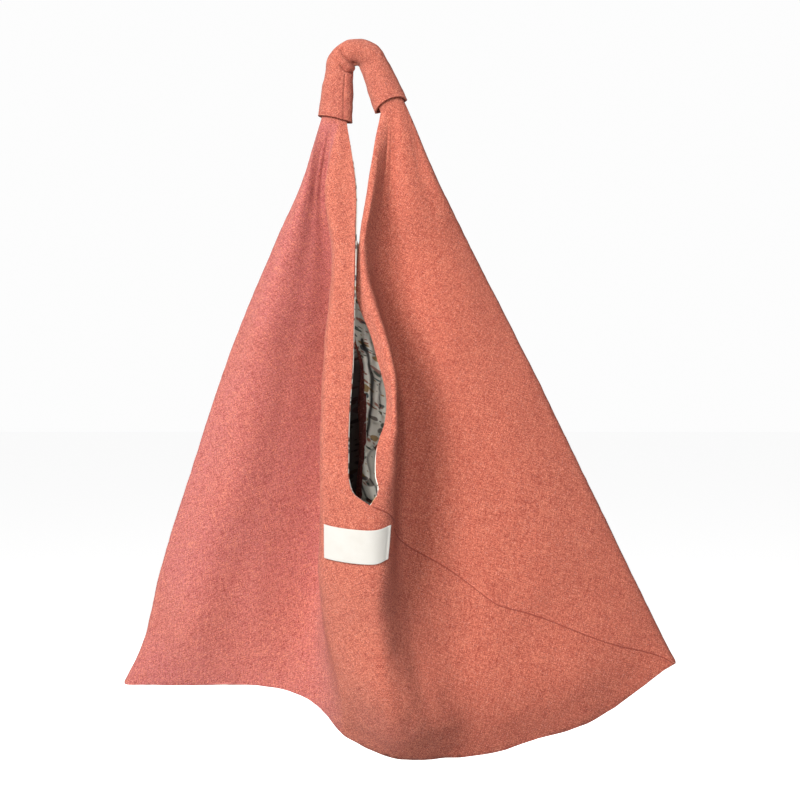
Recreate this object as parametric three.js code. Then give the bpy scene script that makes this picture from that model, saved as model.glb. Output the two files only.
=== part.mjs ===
// Azuma bag: a folded cloth bag of three squares, lined, with a sleeve round its two joined peaks.
// Millimetres. X is right, Z is up and the front faces -Y. The origin is the underside of the
// handle's crown, where the bag hangs.
import * as THREE from "three";

// Sizes of the bag as it hangs.
const SPREAD = 522; // left corner to right corner
const DROP = 640; // hang point down to the lowest point of the base fold
const REACH = 86; // front ridge forward of the hang plane
const BACK = 40; // back sheet behind the hang plane
const PEAK_START = 59; // below the hang point, where the flaps have narrowed into the handle
const NOTCH = 0.404; // height of the front notch, as a share from base fold to PEAK_START
const BACK_NOTCH = 0.37; // height of the back notch

// Cloth.
const WALL = 1.6; // outer linen
const LINING_WALL = 1.2; // lining cotton
const GAP = 0.3; // clear space between two pieces
const FOLD = 4.2; // half the thickness of the bag along its side folds and base fold

// Handle: two legs and an arc between them.
const ARC = 16.2; // radius of the centre line over the crown
const LEFT_LEG = 50;
const RIGHT_LEG = 46;
const LEFT_LEAN = 4.9; // degrees that the left leg leans
const RIGHT_LEAN = 22.4;
const SLEEVE_WIDE = 15.8; // half width of the sleeve at its mouths
const CROWN_WIDE = 12.4; // half width where it is pinched over the hang point
const SLEEVE_DEEP = 10; // half depth of the sleeve
const MOUTH_CLEAR = 2; // the sleeve starts this far past the peaks' start
const HEM_TURN = 30; // degrees from the inner side of the handle to each hem

// Label.
const LABEL_TOP = 419; // below the hang point
const LABEL_TALL = 29.5;
const LABEL_SAG = 5; // its middle hangs lower than its ends
const LABEL_FROM = -1.05; // fold lines that it runs between, left and right of the centre
const LABEL_TO = 1;
const LABEL_COLUMNS = 8;
const LABEL_ROWS = 3;
const LABEL_WALL = 0.8;
const LABEL_LIFT = 0.4; // clear space under it

// Fold lines of the front, from the centre out to each side fold. foot: depth of the base fold there,
// share of DROP. across: share of SPREAD. forward: share of REACH. Both at the heights in HEIGHTS.
const HEIGHTS = [0, 0.06, 0.2, 0.4, 0.6, 0.8, 0.9];
const LEFT_FRONT = [
  { foot: 0.969, across: [-0.014, -0.011, -0.041, -0.049, -0.045, -0.036, -0.05],
    forward: [0.24, 0.56, 0.77, 0.87, 0.72, 0.37, 0.19] }, // crease: sharp left side of the ridge
  { foot: 0.961, across: [-0.029, -0.027, -0.054, -0.057, -0.053, -0.044, -0.055],
    forward: [0.22, 0.49, 0.65, 0.77, 0.6, 0.3, 0.14] }, // flank, that turns back behind the crease
  { foot: 0.917, across: [-0.091, -0.087, -0.07, -0.049, -0.038, -0.047, -0.057],
    forward: [0.02, 0.05, -0.02, -0.14, -0.09, -0.05, -0.02] }, // toe, where ridge meets left panel
  { foot: 0.903, across: [-0.194, -0.194, -0.201, -0.147, -0.107, -0.078, -0.072],
    forward: [-0.16, -0.19, -0.19, -0.21, -0.16, -0.09, -0.05] }, // left valley
  { foot: 0.903, across: [-0.311, -0.299, -0.274, -0.217, -0.183, -0.119, -0.089],
    forward: [-0.16, -0.07, 0, 0, 0.02, 0.02, 0.02] }, // left bump
];
const LEFT_EDGE = {
  foot: 0.906,
  across: [-0.424, -0.395, -0.359, -0.296, -0.229, -0.145, -0.1],
  forward: [-0.3, -0.3, -0.28, -0.23, -0.19, -0.09, -0.06],
};
const RIGHT_FRONT = [
  { foot: 0.996, across: [0.108, 0.097, 0.053, 0.06, 0.065, 0.014, 0.031],
    forward: [0.26, 0.65, 0.91, 0.86, 0.72, 0.37, 0.33] }, // right shoulder of the ridge
  { foot: 0.999, across: [0.147, 0.139, 0.097, 0.075, 0.068, 0.038, 0.048],
    forward: [0.16, 0.4, 0.35, 0.16, 0.05, 0.09, 0.16] }, // toe, where ridge meets right panel
  { foot: 1, across: [0.197, 0.191, 0.169, 0.158, 0.127, 0.073, 0.066],
    forward: [0.09, 0.21, 0.09, 0.05, 0, -0.02, 0.12] }, // right valley
  { foot: 0.989, across: [0.272, 0.266, 0.252, 0.217, 0.174, 0.121, 0.094],
    forward: [0.05, 0.23, 0.26, 0.21, 0.16, 0.12, 0.23] }, // right bump
  { foot: 0.947, across: [0.432, 0.417, 0.358, 0.297, 0.236, 0.16, 0.121],
    forward: [-0.09, 0.09, 0.16, 0.14, 0.07, 0.07, 0.16] }, // body of the right panel
];
const RIGHT_EDGE = {
  foot: 0.876,
  across: [0.577, 0.548, 0.482, 0.388, 0.293, 0.193, 0.144],
  forward: [-0.3, -0.3, -0.28, -0.23, -0.19, -0.09, 0.07],
};

// The back sheet at the heights in HEIGHTS. Two fold lines lie between the side fold and the centre:
// how far in, and how far behind the hang plane, share of BACK. At the base the back meets the front.
const BACK_FOLDS = [
  { inward: 0.35, behind: [0, 0.75, 0.95, 0.97, 0.85, 0.55, 0.4] },
  { inward: 0.7, behind: [0, 0.6, 0.92, 1, 0.9, 0.65, 0.45] },
];
// Its centre line. Columns: share of BACK_NOTCH, across (SPREAD), behind (BACK).
const BACK_CENTRE = [
  [0, 0.038, 0],
  [0.16, 0.031, 0.45],
  [0.54, 0.012, 0.87],
  [1, -0.008, 1],
];
// Its hems. Columns: share of the way from BACK_NOTCH to the handle, across (SPREAD), behind (BACK).
const BACK_LEFT_HEM = [
  [0.063, -0.014, 1.07],
  [0.127, -0.004, 1.14],
  [0.238, 0.006, 1.12],
  [0.365, 0.008, 1.05],
  [0.683, 0.004, 0.75],
  [0.841, -0.022, 0.5],
];
const BACK_RIGHT_HEM = [
  [0.063, -0.004, 0.93],
  [0.127, -0.004, 0.88],
  [0.238, -0.004, 0.85],
  [0.365, -0.004, 0.78],
  [0.683, -0.002, 0.5],
  [0.841, 0.03, 0.4],
];

// Centre line of the front ridge. Columns: share of NOTCH, across (SPREAD), forward (REACH).
const CENTRE_FOOT = 0.993; // depth of the base fold there, share of DROP
const CENTRE = [
  [0, 0.068, 0.3],
  [0.15, 0.06, 0.72],
  [0.5, 0.037, 0.95],
  [1, 0.027, 1],
];
// Hems of the mouth. Columns: share of the way from NOTCH to the handle, across (SPREAD), forward (REACH).
const LEFT_HEM = [
  [0.027, 0.001, 0.99],
  [0.06, -0.008, 0.975],
  [0.117, -0.01, 0.93],
  [0.24, -0.008, 0.85],
  [0.329, -0.004, 0.77],
  [0.523, -0.002, 0.56],
  [0.686, -0.001, 0.39],
  [0.852, -0.002, 0.21],
];
const RIGHT_HEM = [
  [0.03, 0.04, 0.95],
  [0.08, 0.036, 0.88],
  [0.146, 0.038, 0.81],
  [0.208, 0.05, 0.73],
  [0.27, 0.053, 0.67],
  [0.334, 0.046, 0.63],
  [0.43, 0.028, 0.51],
  [0.53, 0.003, 0.41],
  [0.656, 0.004, 0.33],
  [0.785, 0.016, 0.3],
  [0.883, 0.026, 0.27],
];

// Facets of each stretch between two fold lines, from the centre out, and the heights of the rows.
const LEFT_FACETS = [3, 2, 3, 3, 3, 3, 1, 1, 2, 2, 2];
const RIGHT_FACETS = [2, 3, 3, 3, 3, 3, 1, 1, 2, 2, 2];
const LOW_ROWS = [0, 0.07, 0.16, 0.27, 0.41, 0.54, 0.7, 0.86]; // shares of BACK_NOTCH
const HIGH_ROWS = [0.06, 0.144, 0.228, 0.329, 0.446, 0.564, 0.681, 0.8, 0.9, 1]; // of NOTCH to handle
const LEG_ROWS = 3;
const ARC_ROWS = 7;
const SLEEVE_ARC_ROWS = 10;
const SLEEVE_SIDES = 16;

const { degToRad: radians, lerp, smoothstep, clamp } = THREE.MathUtils;
const ROWS = [
  ...LOW_ROWS.map((share) => share * BACK_NOTCH),
  BACK_NOTCH,
  NOTCH,
  ...HIGH_ROWS.map((share) => lerp(NOTCH, 1, share)),
];

// Smooth value at x of a row of values ys given at xs.
function smooth(xs, ys, x) {
  const last = xs.length - 1;
  let i = 0;
  while (i < last - 1 && x > xs[i + 1]) i += 1;
  const chord = (k) => (ys[k + 1] - ys[k]) / (xs[k + 1] - xs[k]);
  const slope = (k) => {
    if (k === 0) return chord(0);
    if (k === last) return chord(last - 1);
    const before = xs[k] - xs[k - 1];
    const after = xs[k + 1] - xs[k];
    return (chord(k - 1) * after + chord(k) * before) / (before + after);
  };
  const step = xs[i + 1] - xs[i];
  const f = (x - xs[i]) / step;
  const g = 1 - f;
  return (
    ys[i] * (1 + 2 * f) * g * g +
    slope(i) * step * f * g * g +
    ys[i + 1] * (1 + 2 * g) * f * f -
    slope(i + 1) * step * g * f * f
  );
}

// Centre line of the handle. way runs from 0 at the left peak's start to HANDLE_LENGTH at the right's.
const TURN = 180 - LEFT_LEAN - RIGHT_LEAN;
const ARC_LENGTH = ARC * radians(TURN);
const HANDLE_LENGTH = LEFT_LEG + ARC_LENGTH + RIGHT_LEG;
const CROWN = new THREE.Vector3(0, 0, CROWN_WIDE - ARC);
function handleAt(way) {
  const along = clamp((way - LEFT_LEG) / ARC_LENGTH, 0, 1);
  const angle = radians(180 - LEFT_LEAN - TURN * along);
  const out = new THREE.Vector3(Math.cos(angle), 0, Math.sin(angle));
  const forth = new THREE.Vector3(Math.sin(angle), 0, -Math.cos(angle));
  const straight = Math.min(way - LEFT_LEG, 0) + Math.max(way - LEFT_LEG - ARC_LENGTH, 0);
  const centre = CROWN.clone().addScaledVector(out, ARC).addScaledVector(forth, straight);
  const pinch = Math.sin(Math.PI * clamp(way / HANDLE_LENGTH, 0, 1)) ** 2;
  return { centre, out, wide: lerp(SLEEVE_WIDE, CROWN_WIDE, pinch) };
}

// Point of the flat ring round the handle. turn is degrees from its inner side, through the front.
function ringPoint(way, turn, inset) {
  const { centre, out, wide } = handleAt(way);
  const ahead = Math.sin(radians(turn)) * (SLEEVE_DEEP - inset);
  return centre
    .clone()
    .addScaledVector(out, -Math.cos(radians(turn)) * (wide - inset))
    .add(new THREE.Vector3(0, -ahead, 0));
}

const PEAK_INSET = WALL + GAP + WALL; // middle of the peaks' cloth below the sleeve's outside
const EDGE = LEFT_FRONT.length + 2; // fold lines are numbered 0 at the front centre to this at the side
const CHAIN = EDGE + BACK_FOLDS.length + 3; // and on to the back centre
const facetsOf = { left: LEFT_FACETS, right: RIGHT_FACETS };
const columnsOf = (side) =>
  facetsOf[side].flatMap((count, k) => Array.from({ length: count }, (_, i) => k + i / count)).concat(CHAIN - 1);
const COLUMNS = columnsOf("left").length;
const EDGE_COLUMN = columnsOf("left").indexOf(EDGE);

// Turn round the handle of column j, so that the side fold lies along its outer side.
function turnOf(j) {
  const half = 180 - HEM_TURN;
  if (j <= EDGE_COLUMN) return HEM_TURN + (half * j) / EDGE_COLUMN;
  return 180 + (half * (j - EDGE_COLUMN)) / (COLUMNS - 1 - EDGE_COLUMN);
}

// Position of a fold line at height h. Columns of rows: height share, across (SPREAD), forward (REACH).
// end is where the line runs into the handle, if it gets there.
function lineAt(rows, foot, end, h) {
  const column = (read, last) => [...rows.map(read), ...(end ? [last] : [])];
  const heights = column((row) => row[0], 1);
  const z = ([height]) => lerp(-foot * DROP, -PEAK_START, height);
  return new THREE.Vector3(
    smooth(heights, column((row) => row[1] * SPREAD, end?.x), h),
    smooth(heights, column((row) => -row[2] * REACH, end?.y), h),
    smooth(heights, column(z, end?.z), h),
  );
}

// Rows of a centre line below a notch, then of a hem above it, at their heights.
function openingRows(centre, hem, notch, h) {
  const low = centre.map(([share, ...rest]) => [share * notch, ...rest]);
  if (h <= notch) return low;
  return [...low, ...hem.map(([share, ...rest]) => [lerp(notch, 1, share), ...rest])];
}

const foldRows = ({ across, forward }) => HEIGHTS.map((height, i) => [height, across[i], forward[i]]);

// End of fold line k of a side, where the handle begins.
function endOf(side, k) {
  const j = columnsOf(side).indexOf(k);
  return ringPoint(side === "left" ? 0 : HANDLE_LENGTH, turnOf(j), PEAK_INSET);
}

// Fold lines of the front, 0 the centre to 7 the side fold.
function frontLine(side, k, h) {
  const left = side === "left";
  const end = endOf(side, k);
  if (k === 0) {
    const rows = openingRows(CENTRE, left ? LEFT_HEM : RIGHT_HEM, NOTCH, h);
    return lineAt(rows, CENTRE_FOOT, h <= NOTCH ? null : end, h);
  }
  const edge = left ? LEFT_EDGE : RIGHT_EDGE;
  if (k === EDGE) return lineAt(foldRows(edge), edge.foot, end, h);
  if (k === EDGE - 1) return besideEdge(side, k, h, -1);
  const row = (left ? LEFT_FRONT : RIGHT_FRONT)[k - 1];
  return lineAt(foldRows(row), row.foot, end, h);
}

// Fold lines just in front of and just behind the side fold.
function besideEdge(side, k, h, way) {
  const edge = frontLine(side, EDGE, h);
  const room = frontLine(side, EDGE - 2, h).x - edge.x;
  const inward = Math.sign(room) * Math.min(FOLD, 0.4 * Math.abs(room));
  const point = edge.add(new THREE.Vector3(inward, way * FOLD, 0));
  const near = smoothstep(h, 0.9, 1);
  return point.lerp(endOf(side, k), near);
}

// Smooth curve through one side's fold lines at height h; the other side's next line leads it in.
function frontPoint(side, t, h) {
  const points = Array.from({ length: EDGE + 1 }, (_, k) => frontLine(side, k, h));
  const other = frontLine(side === "left" ? "right" : "left", 1, h);
  const free = points[0].clone().multiplyScalar(2).sub(points[1]);
  const open = smoothstep(h, NOTCH, NOTCH + 0.1);
  const curve = new THREE.CatmullRomCurve3([other.lerp(free, open), ...points], false, "centripetal");
  return curve.getPoint((t + 1) / (EDGE + 1));
}

// The base fold as the front draws it, for the back sheet to meet.
const baseLine = ["left", "right"]
  .flatMap((side) => Array.from({ length: 71 }, (_, i) => frontPoint(side, (i * EDGE) / 70, 0)))
  .sort((a, b) => a.x - b.x);
function basePoint(x) {
  const i = Math.min(Math.max(baseLine.findIndex((p) => p.x > x), 1), baseLine.length - 1);
  const [a, b] = [baseLine[i - 1], baseLine[i]];
  const f = clamp((x - a.x) / Math.max(b.x - a.x, 1e-6), 0, 1);
  return a.clone().lerp(b, f);
}

// Fold lines of the back, 8 beside the side fold to 11 the centre or hem.
function backLine(side, k, h) {
  if (k === EDGE + 1) return besideEdge(side, k, h, 1);
  const left = side === "left";
  const edge = left ? LEFT_EDGE : RIGHT_EDGE;
  const hem = left ? BACK_LEFT_HEM : BACK_RIGHT_HEM;
  const fold = BACK_FOLDS[k - EDGE - 2];
  const centreAcross = (height) => {
    const centre = openingRows(BACK_CENTRE, hem, BACK_NOTCH, height);
    return smooth(centre.map((row) => row[0]), centre.map((row) => row[1]), height);
  };
  const rows = fold
    ? HEIGHTS.map((height, i) => [height, lerp(edge.across[i], centreAcross(height), fold.inward), fold.behind[i]])
    : openingRows(BACK_CENTRE, hem, BACK_NOTCH, h);
  const base = basePoint(rows[0][1] * SPREAD);
  const placed = rows.map(([height, across, behind], i) =>
    [height, across, (i === 0 ? -(base.y + 2 * FOLD) : -behind * BACK) / REACH]);
  return lineAt(placed, -base.z / DROP, !fold && h <= BACK_NOTCH ? null : endOf(side, k), h);
}

function backPoint(side, t, h) {
  const lines = [EDGE + 1, EDGE + 2, EDGE + 3, EDGE + 4];
  const points = [frontLine(side, EDGE, h), ...lines.map((k) => backLine(side, k, h))];
  const other = backLine(side === "left" ? "right" : "left", CHAIN - 2, h);
  const free = points[4].clone().multiplyScalar(2).sub(points[3]);
  const open = smoothstep(h, BACK_NOTCH, BACK_NOTCH + 0.1);
  const lead = frontLine(side, EDGE - 1, h);
  const curve = new THREE.CatmullRomCurve3([lead, ...points, other.lerp(free, open)], false, "centripetal");
  return curve.getPoint((t - EDGE + 1) / (CHAIN - EDGE + 1));
}

const sheetPoint = (side, t, h) => (t <= EDGE ? frontPoint(side, t, h) : backPoint(side, t, h));

// Middle surface of the bag cloth as points and triangles that face out.
function bagSurface() {
  const points = [];
  const faces = [];
  const known = new Map();
  const add = (key, point) => {
    if (!known.has(key)) {
      known.set(key, points.length);
      points.push(point);
    }
    return known.get(key);
  };
  const notchRow = ROWS.indexOf(NOTCH);
  const backNotchRow = ROWS.indexOf(BACK_NOTCH);
  const columns = { left: columnsOf("left"), right: columnsOf("right") };
  const at = (side, j, r) => {
    const middle = (j === 0 && r <= notchRow) || (j === COLUMNS - 1 && r <= backNotchRow);
    const owner = middle ? "right" : side;
    const point =
      ROWS[r] === 1
        ? ringPoint(side === "left" ? 0 : HANDLE_LENGTH, turnOf(j), PEAK_INSET)
        : sheetPoint(owner, columns[owner][j], ROWS[r]);
    return add(owner + " " + j + " " + r, point);
  };
  const quad = (a, b, c, d, flip) => {
    if (flip) faces.push([a, c, b], [a, d, c]);
    else faces.push([a, b, c], [a, c, d]);
  };
  for (const side of ["left", "right"]) {
    for (let r = 0; r < ROWS.length - 1; r += 1) {
      for (let j = 0; j < COLUMNS - 1; j += 1) {
        quad(at(side, j, r), at(side, j + 1, r), at(side, j + 1, r + 1), at(side, j, r + 1), side === "left");
      }
    }
  }
  const ways = [];
  for (let i = 0; i < LEG_ROWS; i += 1) ways.push((LEFT_LEG * i) / LEG_ROWS);
  for (let i = 0; i < ARC_ROWS; i += 1) ways.push(LEFT_LEG + (ARC_LENGTH * i) / ARC_ROWS);
  for (let i = 0; i <= LEG_ROWS; i += 1) ways.push(LEFT_LEG + ARC_LENGTH + (RIGHT_LEG * i) / LEG_ROWS);
  const top = ROWS.length - 1;
  const along = (j, i) => {
    if (i === 0) return at("left", j, top);
    if (i === ways.length - 1) return at("right", j, top);
    return add("handle " + j + " " + i, ringPoint(ways[i], turnOf(j), PEAK_INSET));
  };
  for (let i = 0; i < ways.length - 1; i += 1) {
    for (let j = 0; j < COLUMNS - 1; j += 1) {
      quad(along(j, i), along(j + 1, i), along(j + 1, i + 1), along(j, i + 1), true);
    }
  }
  // Base fold: a narrow strip between the front's lowest row and the back's.
  const front = [];
  const back = [];
  for (let j = EDGE_COLUMN; j >= 0; j -= 1) front.push(at("left", j, 0));
  for (let j = 1; j <= EDGE_COLUMN; j += 1) front.push(at("right", j, 0));
  for (let j = EDGE_COLUMN; j < COLUMNS; j += 1) back.push(at("left", j, 0));
  for (let j = COLUMNS - 2; j >= EDGE_COLUMN; j -= 1) back.push(at("right", j, 0));
  let f = 0;
  let b = 0;
  while (f < front.length - 1 || b < back.length - 1) {
    const nextFront = f < front.length - 1 ? points[front[f + 1]].x : Infinity;
    const nextBack = b < back.length - 1 ? points[back[b + 1]].x : Infinity;
    if (nextFront <= nextBack) {
      if (front[f] !== back[b] && front[f + 1] !== back[b]) faces.push([front[f], back[b], front[f + 1]]);
      f += 1;
    } else {
      if (front[f] !== back[b] && front[f] !== back[b + 1]) faces.push([front[f], back[b], back[b + 1]]);
      b += 1;
    }
  }
  return { points, faces };
}

// Closed wall between two offsets of a middle surface, with rims along its open edges.
function wall({ points, faces }, outside, inside) {
  const normals = points.map(() => new THREE.Vector3());
  for (const [a, b, c] of faces) {
    const corner = [points[a], points[b], points[c]];
    const normal = corner[1].clone().sub(corner[0]).cross(corner[2].clone().sub(corner[0])).normalize();
    [a, b, c].forEach((v, i) => {
      const p = corner[(i + 1) % 3].clone().sub(corner[i]);
      const q = corner[(i + 2) % 3].clone().sub(corner[i]);
      normals[v].addScaledVector(normal, p.angleTo(q));
    });
  }
  const positions = [];
  for (const offset of [outside, inside]) {
    points.forEach((point, i) => {
      positions.push(...point.clone().addScaledVector(normals[i].clone().normalize(), offset).toArray());
    });
  }
  const n = points.length;
  const index = [];
  const edges = new Set();
  for (const [a, b, c] of faces) {
    index.push(a, b, c, a + n, c + n, b + n);
    [[a, b], [b, c], [c, a]].forEach(([p, q]) => edges.add(p + " " + q));
  }
  for (const edge of edges) {
    const [p, q] = edge.split(" ").map(Number);
    if (!edges.has(q + " " + p)) index.push(q, p, p + n, q, p + n, q + n);
  }
  const geometry = new THREE.BufferGeometry();
  geometry.setAttribute("position", new THREE.Float32BufferAttribute(positions, 3));
  geometry.setIndex(index);
  geometry.computeVertexNormals();
  return geometry;
}

// Middle of the cloth under the label. way runs from the left side of the front ridge to the right.
function labelSurface() {
  const points = [];
  const faces = [];
  for (let r = 0; r <= LABEL_ROWS; r += 1) {
    for (let c = 0; c <= LABEL_COLUMNS; c += 1) {
      const way = lerp(LABEL_FROM, LABEL_TO, c / LABEL_COLUMNS);
      const side = way < 0 ? "left" : "right";
      const sag = LABEL_SAG * Math.cos((Math.PI / 2) * clamp(way, -1, 1));
      const z = -LABEL_TOP - sag - LABEL_TALL * (1 - r / LABEL_ROWS);
      let h = 0.35;
      for (let i = 0; i < 4; i += 1) {
        h += (z - frontPoint(side, Math.abs(way), h).z) / (DROP - PEAK_START);
      }
      points.push(frontPoint(side, Math.abs(way), h));
      if (r === LABEL_ROWS || c === LABEL_COLUMNS) continue;
      const a = r * (LABEL_COLUMNS + 1) + c;
      const above = a + LABEL_COLUMNS + 1;
      faces.push([a, a + 1, above + 1], [a, above + 1, above]);
    }
  }
  return { points, faces };
}

// Tube round the handle.
function sleeveSurface() {
  const ways = [MOUTH_CLEAR];
  for (let i = 1; i < LEG_ROWS; i += 1) ways.push((LEFT_LEG * i) / LEG_ROWS);
  for (let i = 0; i < SLEEVE_ARC_ROWS; i += 1) ways.push(LEFT_LEG + (ARC_LENGTH * i) / SLEEVE_ARC_ROWS);
  for (let i = 0; i < LEG_ROWS; i += 1) ways.push(LEFT_LEG + ARC_LENGTH + (RIGHT_LEG * i) / LEG_ROWS);
  ways.push(HANDLE_LENGTH - MOUTH_CLEAR);
  const points = [];
  const faces = [];
  for (const way of ways) {
    for (let i = 0; i < SLEEVE_SIDES; i += 1) {
      points.push(ringPoint(way, (360 * i) / SLEEVE_SIDES, WALL / 2));
    }
  }
  for (let r = 0; r < ways.length - 1; r += 1) {
    for (let i = 0; i < SLEEVE_SIDES; i += 1) {
      const a = r * SLEEVE_SIDES + i;
      const b = r * SLEEVE_SIDES + ((i + 1) % SLEEVE_SIDES);
      faces.push([a, b + SLEEVE_SIDES, b], [a, a + SLEEVE_SIDES, b + SLEEVE_SIDES]);
    }
  }
  return { points, faces };
}

function material(colour, roughness) {
  return new THREE.MeshStandardMaterial({ color: colour, roughness, metalness: 0 });
}

function piece(name, geometry, finish) {
  const mesh = new THREE.Mesh(geometry, finish);
  mesh.name = name;
  return mesh;
}

const group = new THREE.Group();
group.name = "azuma_bag";
const bag = bagSurface();
const liningOutside = -(WALL / 2 + GAP);
group.add(piece("outer_shell", wall(bag, WALL / 2, -WALL / 2), material("#d0705f", 0.9)));
group.add(piece("lining", wall(bag, liningOutside, liningOutside - LINING_WALL), material("#ddd8c8", 0.85)));
group.add(piece("handle_sleeve", wall(sleeveSurface(), WALL / 2, -WALL / 2), material("#d27563", 0.9)));
const labelInside = WALL / 2 + LABEL_LIFT;
group.add(piece("label", wall(labelSurface(), labelInside + LABEL_WALL, labelInside), material("#f3f3ee", 0.8)));

export default group;
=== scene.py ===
# %% [markdown]
# # An azuma bag
# An azuma bag is folded from one long strip of cloth, three squares long, and sewn corner to corner.
# Its two peaks are joined at the top and run through a short sleeve, which is the handle. This lesson
# dresses a packed model of the bag as it hangs: the coral linen outside, the printed lining, the
# sleeve and a blank woven label. Every length is written in millimetres and turned into metres once.

import math

import bmesh
import bpy
import numpy as np
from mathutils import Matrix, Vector, noise


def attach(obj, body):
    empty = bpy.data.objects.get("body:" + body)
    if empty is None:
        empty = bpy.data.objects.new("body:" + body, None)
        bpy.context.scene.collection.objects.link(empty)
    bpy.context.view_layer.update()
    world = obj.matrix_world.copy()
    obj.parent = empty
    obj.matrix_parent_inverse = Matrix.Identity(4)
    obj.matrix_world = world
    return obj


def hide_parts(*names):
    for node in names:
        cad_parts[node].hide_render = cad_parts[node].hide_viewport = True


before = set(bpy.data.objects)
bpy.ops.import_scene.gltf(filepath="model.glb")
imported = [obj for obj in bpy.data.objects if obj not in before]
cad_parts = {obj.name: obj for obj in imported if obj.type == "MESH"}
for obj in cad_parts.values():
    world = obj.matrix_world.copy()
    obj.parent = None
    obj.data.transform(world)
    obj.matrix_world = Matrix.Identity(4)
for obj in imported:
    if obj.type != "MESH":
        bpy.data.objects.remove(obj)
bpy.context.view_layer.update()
MM = 0.001

# %% [markdown]
# ## Camera
# The photograph is taken level with the middle of the bag, from about a metre and a quarter. The two
# numbers that matter are the distance and how wide the picture is at the hang plane: together they
# give the lens.

# %% Camera
VIEW_DISTANCE = 1250.0
PICTURE_WIDE = 744.0
PICTURE_CENTRE = (40.0, -311.1)
SENSOR = 36.0
camera_data = bpy.data.cameras.new("camera")
camera_data.sensor_width = SENSOR
camera_data.lens = SENSOR * VIEW_DISTANCE / PICTURE_WIDE
camera = bpy.data.objects.new("camera", camera_data)
camera.location = Vector((PICTURE_CENTRE[0], -VIEW_DISTANCE, PICTURE_CENTRE[1])) * MM
camera.rotation_euler = (math.radians(90), 0, 0)
bpy.context.scene.collection.objects.link(camera)
bpy.context.scene.camera = camera
print("lens", round(camera_data.lens, 1), "mm")

# %% [markdown]
# ## Main sizes
# The bag is as wide as its two bottom corners are apart, and as tall as the drop from the hang point
# to the lowest fold. How far it reaches forwards can't be measured from the front, so that size
# comes from the shading. The mouth ends in two notches, which are given as shares of the way up.

# %% Main sizes
# Width, height, and how far the cloth reaches forwards and backwards.
SPREAD, DROP, REACH, BACK = 522.0, 640.0, 86.0, 40.0
# How far below the hang point the peaks enter the sleeve.
PEAK_START = 59.0
NOTCH, BACK_NOTCH = 0.404, 0.37
# Thickness of linen and lining, the space between them, and half the depth of a side fold.
WALL, LINING_WALL, GAP, FOLD = 1.6, 1.2, 0.3, 4.2
print("bag", SPREAD, "by", DROP, "mm")

# %% [markdown]
# ## Fold lines of the front
# Cloth hangs in folds that run from the handle down to the base. A cloth simulation would find folds
# of its own, and the photograph shows one certain set. So the folds are drawn: each line is a few
# shares of the main sizes at a few heights, and smooth curves join them. The CAD model has lines of
# the same kind. Some depths are set again here after the shading, so the cloth lies close to the
# solid and not quite on it.

# %% Fold lines of the front
# Heights run from the base fold (0) to the handle (1). Each fold line holds the depth of the base
# fold below it (share of DROP), then across (share of SPREAD), then forward (share of REACH).
HEIGHTS = [0, 0.06, 0.2, 0.4, 0.6, 0.8, 0.9]
LEFT_FRONT = [
    (0.969, [-0.014, -0.011, -0.041, -0.049, -0.045, -0.036, -0.05],
     [0.24, 0.56, 0.77, 0.87, 0.72, 0.37, 0.19]),
    (0.961, [-0.029, -0.027, -0.054, -0.057, -0.053, -0.044, -0.055],
     [0.22, 0.49, 0.65, 0.77, 0.6, 0.3, 0.14]),
    (0.917, [-0.091, -0.087, -0.07, -0.049, -0.038, -0.047, -0.057],
     [0.02, -0.04, -0.23, -0.3, -0.28, -0.17, -0.08]),
    (0.903, [-0.194, -0.194, -0.187, -0.14, -0.105, -0.078, -0.072],
     [-0.16, -0.15, -0.13, -0.14, -0.13, -0.09, -0.05]),
    (0.903, [-0.311, -0.299, -0.274, -0.217, -0.183, -0.119, -0.089],
     [-0.16, -0.07, 0, 0, 0.02, 0.02, 0.02]),
]
LEFT_EDGE = (
    0.906,
    [-0.424, -0.395, -0.359, -0.296, -0.229, -0.145, -0.1],
    [-0.3, -0.3, -0.28, -0.23, -0.19, -0.09, -0.06],
)
RIGHT_FRONT = [
    (0.996, [0.108, 0.097, 0.053, 0.06, 0.065, 0.014, 0.031],
     [0.26, 0.65, 0.91, 0.86, 0.72, 0.37, 0.33]),
    (0.999, [0.147, 0.139, 0.097, 0.075, 0.068, 0.038, 0.048],
     [0.16, 0.5, 0.55, 0.22, 0.06, 0.09, 0.16]),
    (1, [0.197, 0.191, 0.169, 0.158, 0.127, 0.073, 0.066],
     [0.09, 0.32, 0.3, 0.1, 0, -0.02, 0.12]),
    (0.989, [0.272, 0.266, 0.252, 0.217, 0.174, 0.121, 0.094],
     [0.05, 0.24, 0.24, 0.1, 0.06, 0.06, 0.2]),
    (0.947, [0.432, 0.417, 0.358, 0.297, 0.236, 0.16, 0.121],
     [-0.09, 0.08, 0.1, 0.04, 0, 0.03, 0.14]),
]
RIGHT_EDGE = (
    0.876,
    [0.577, 0.548, 0.482, 0.388, 0.293, 0.193, 0.144],
    [-0.3, -0.3, -0.28, -0.23, -0.19, -0.09, 0.07],
)
print("front fold lines", len(LEFT_FRONT), "on the left and", len(RIGHT_FRONT), "on the right")

# %% [markdown]
# ## Fold lines of the back and the hems
# The back can't be seen, so it is a plain sheet that bulges a little. The centre lines run from the
# base up to a notch, where the cloth parts, and the hems run from there to the handle. Their small
# steps to the side make the wavy edge of the mouth.

# %% Back, centre lines and hems
# Each back fold: share of the way from the side to the centre, then behind (share of BACK).
BACK_FOLDS = [
    (0.35, [0, 0.75, 0.95, 0.97, 0.85, 0.55, 0.4]),
    (0.7, [0, 0.6, 0.92, 1, 0.9, 0.65, 0.45]),
]

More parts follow.
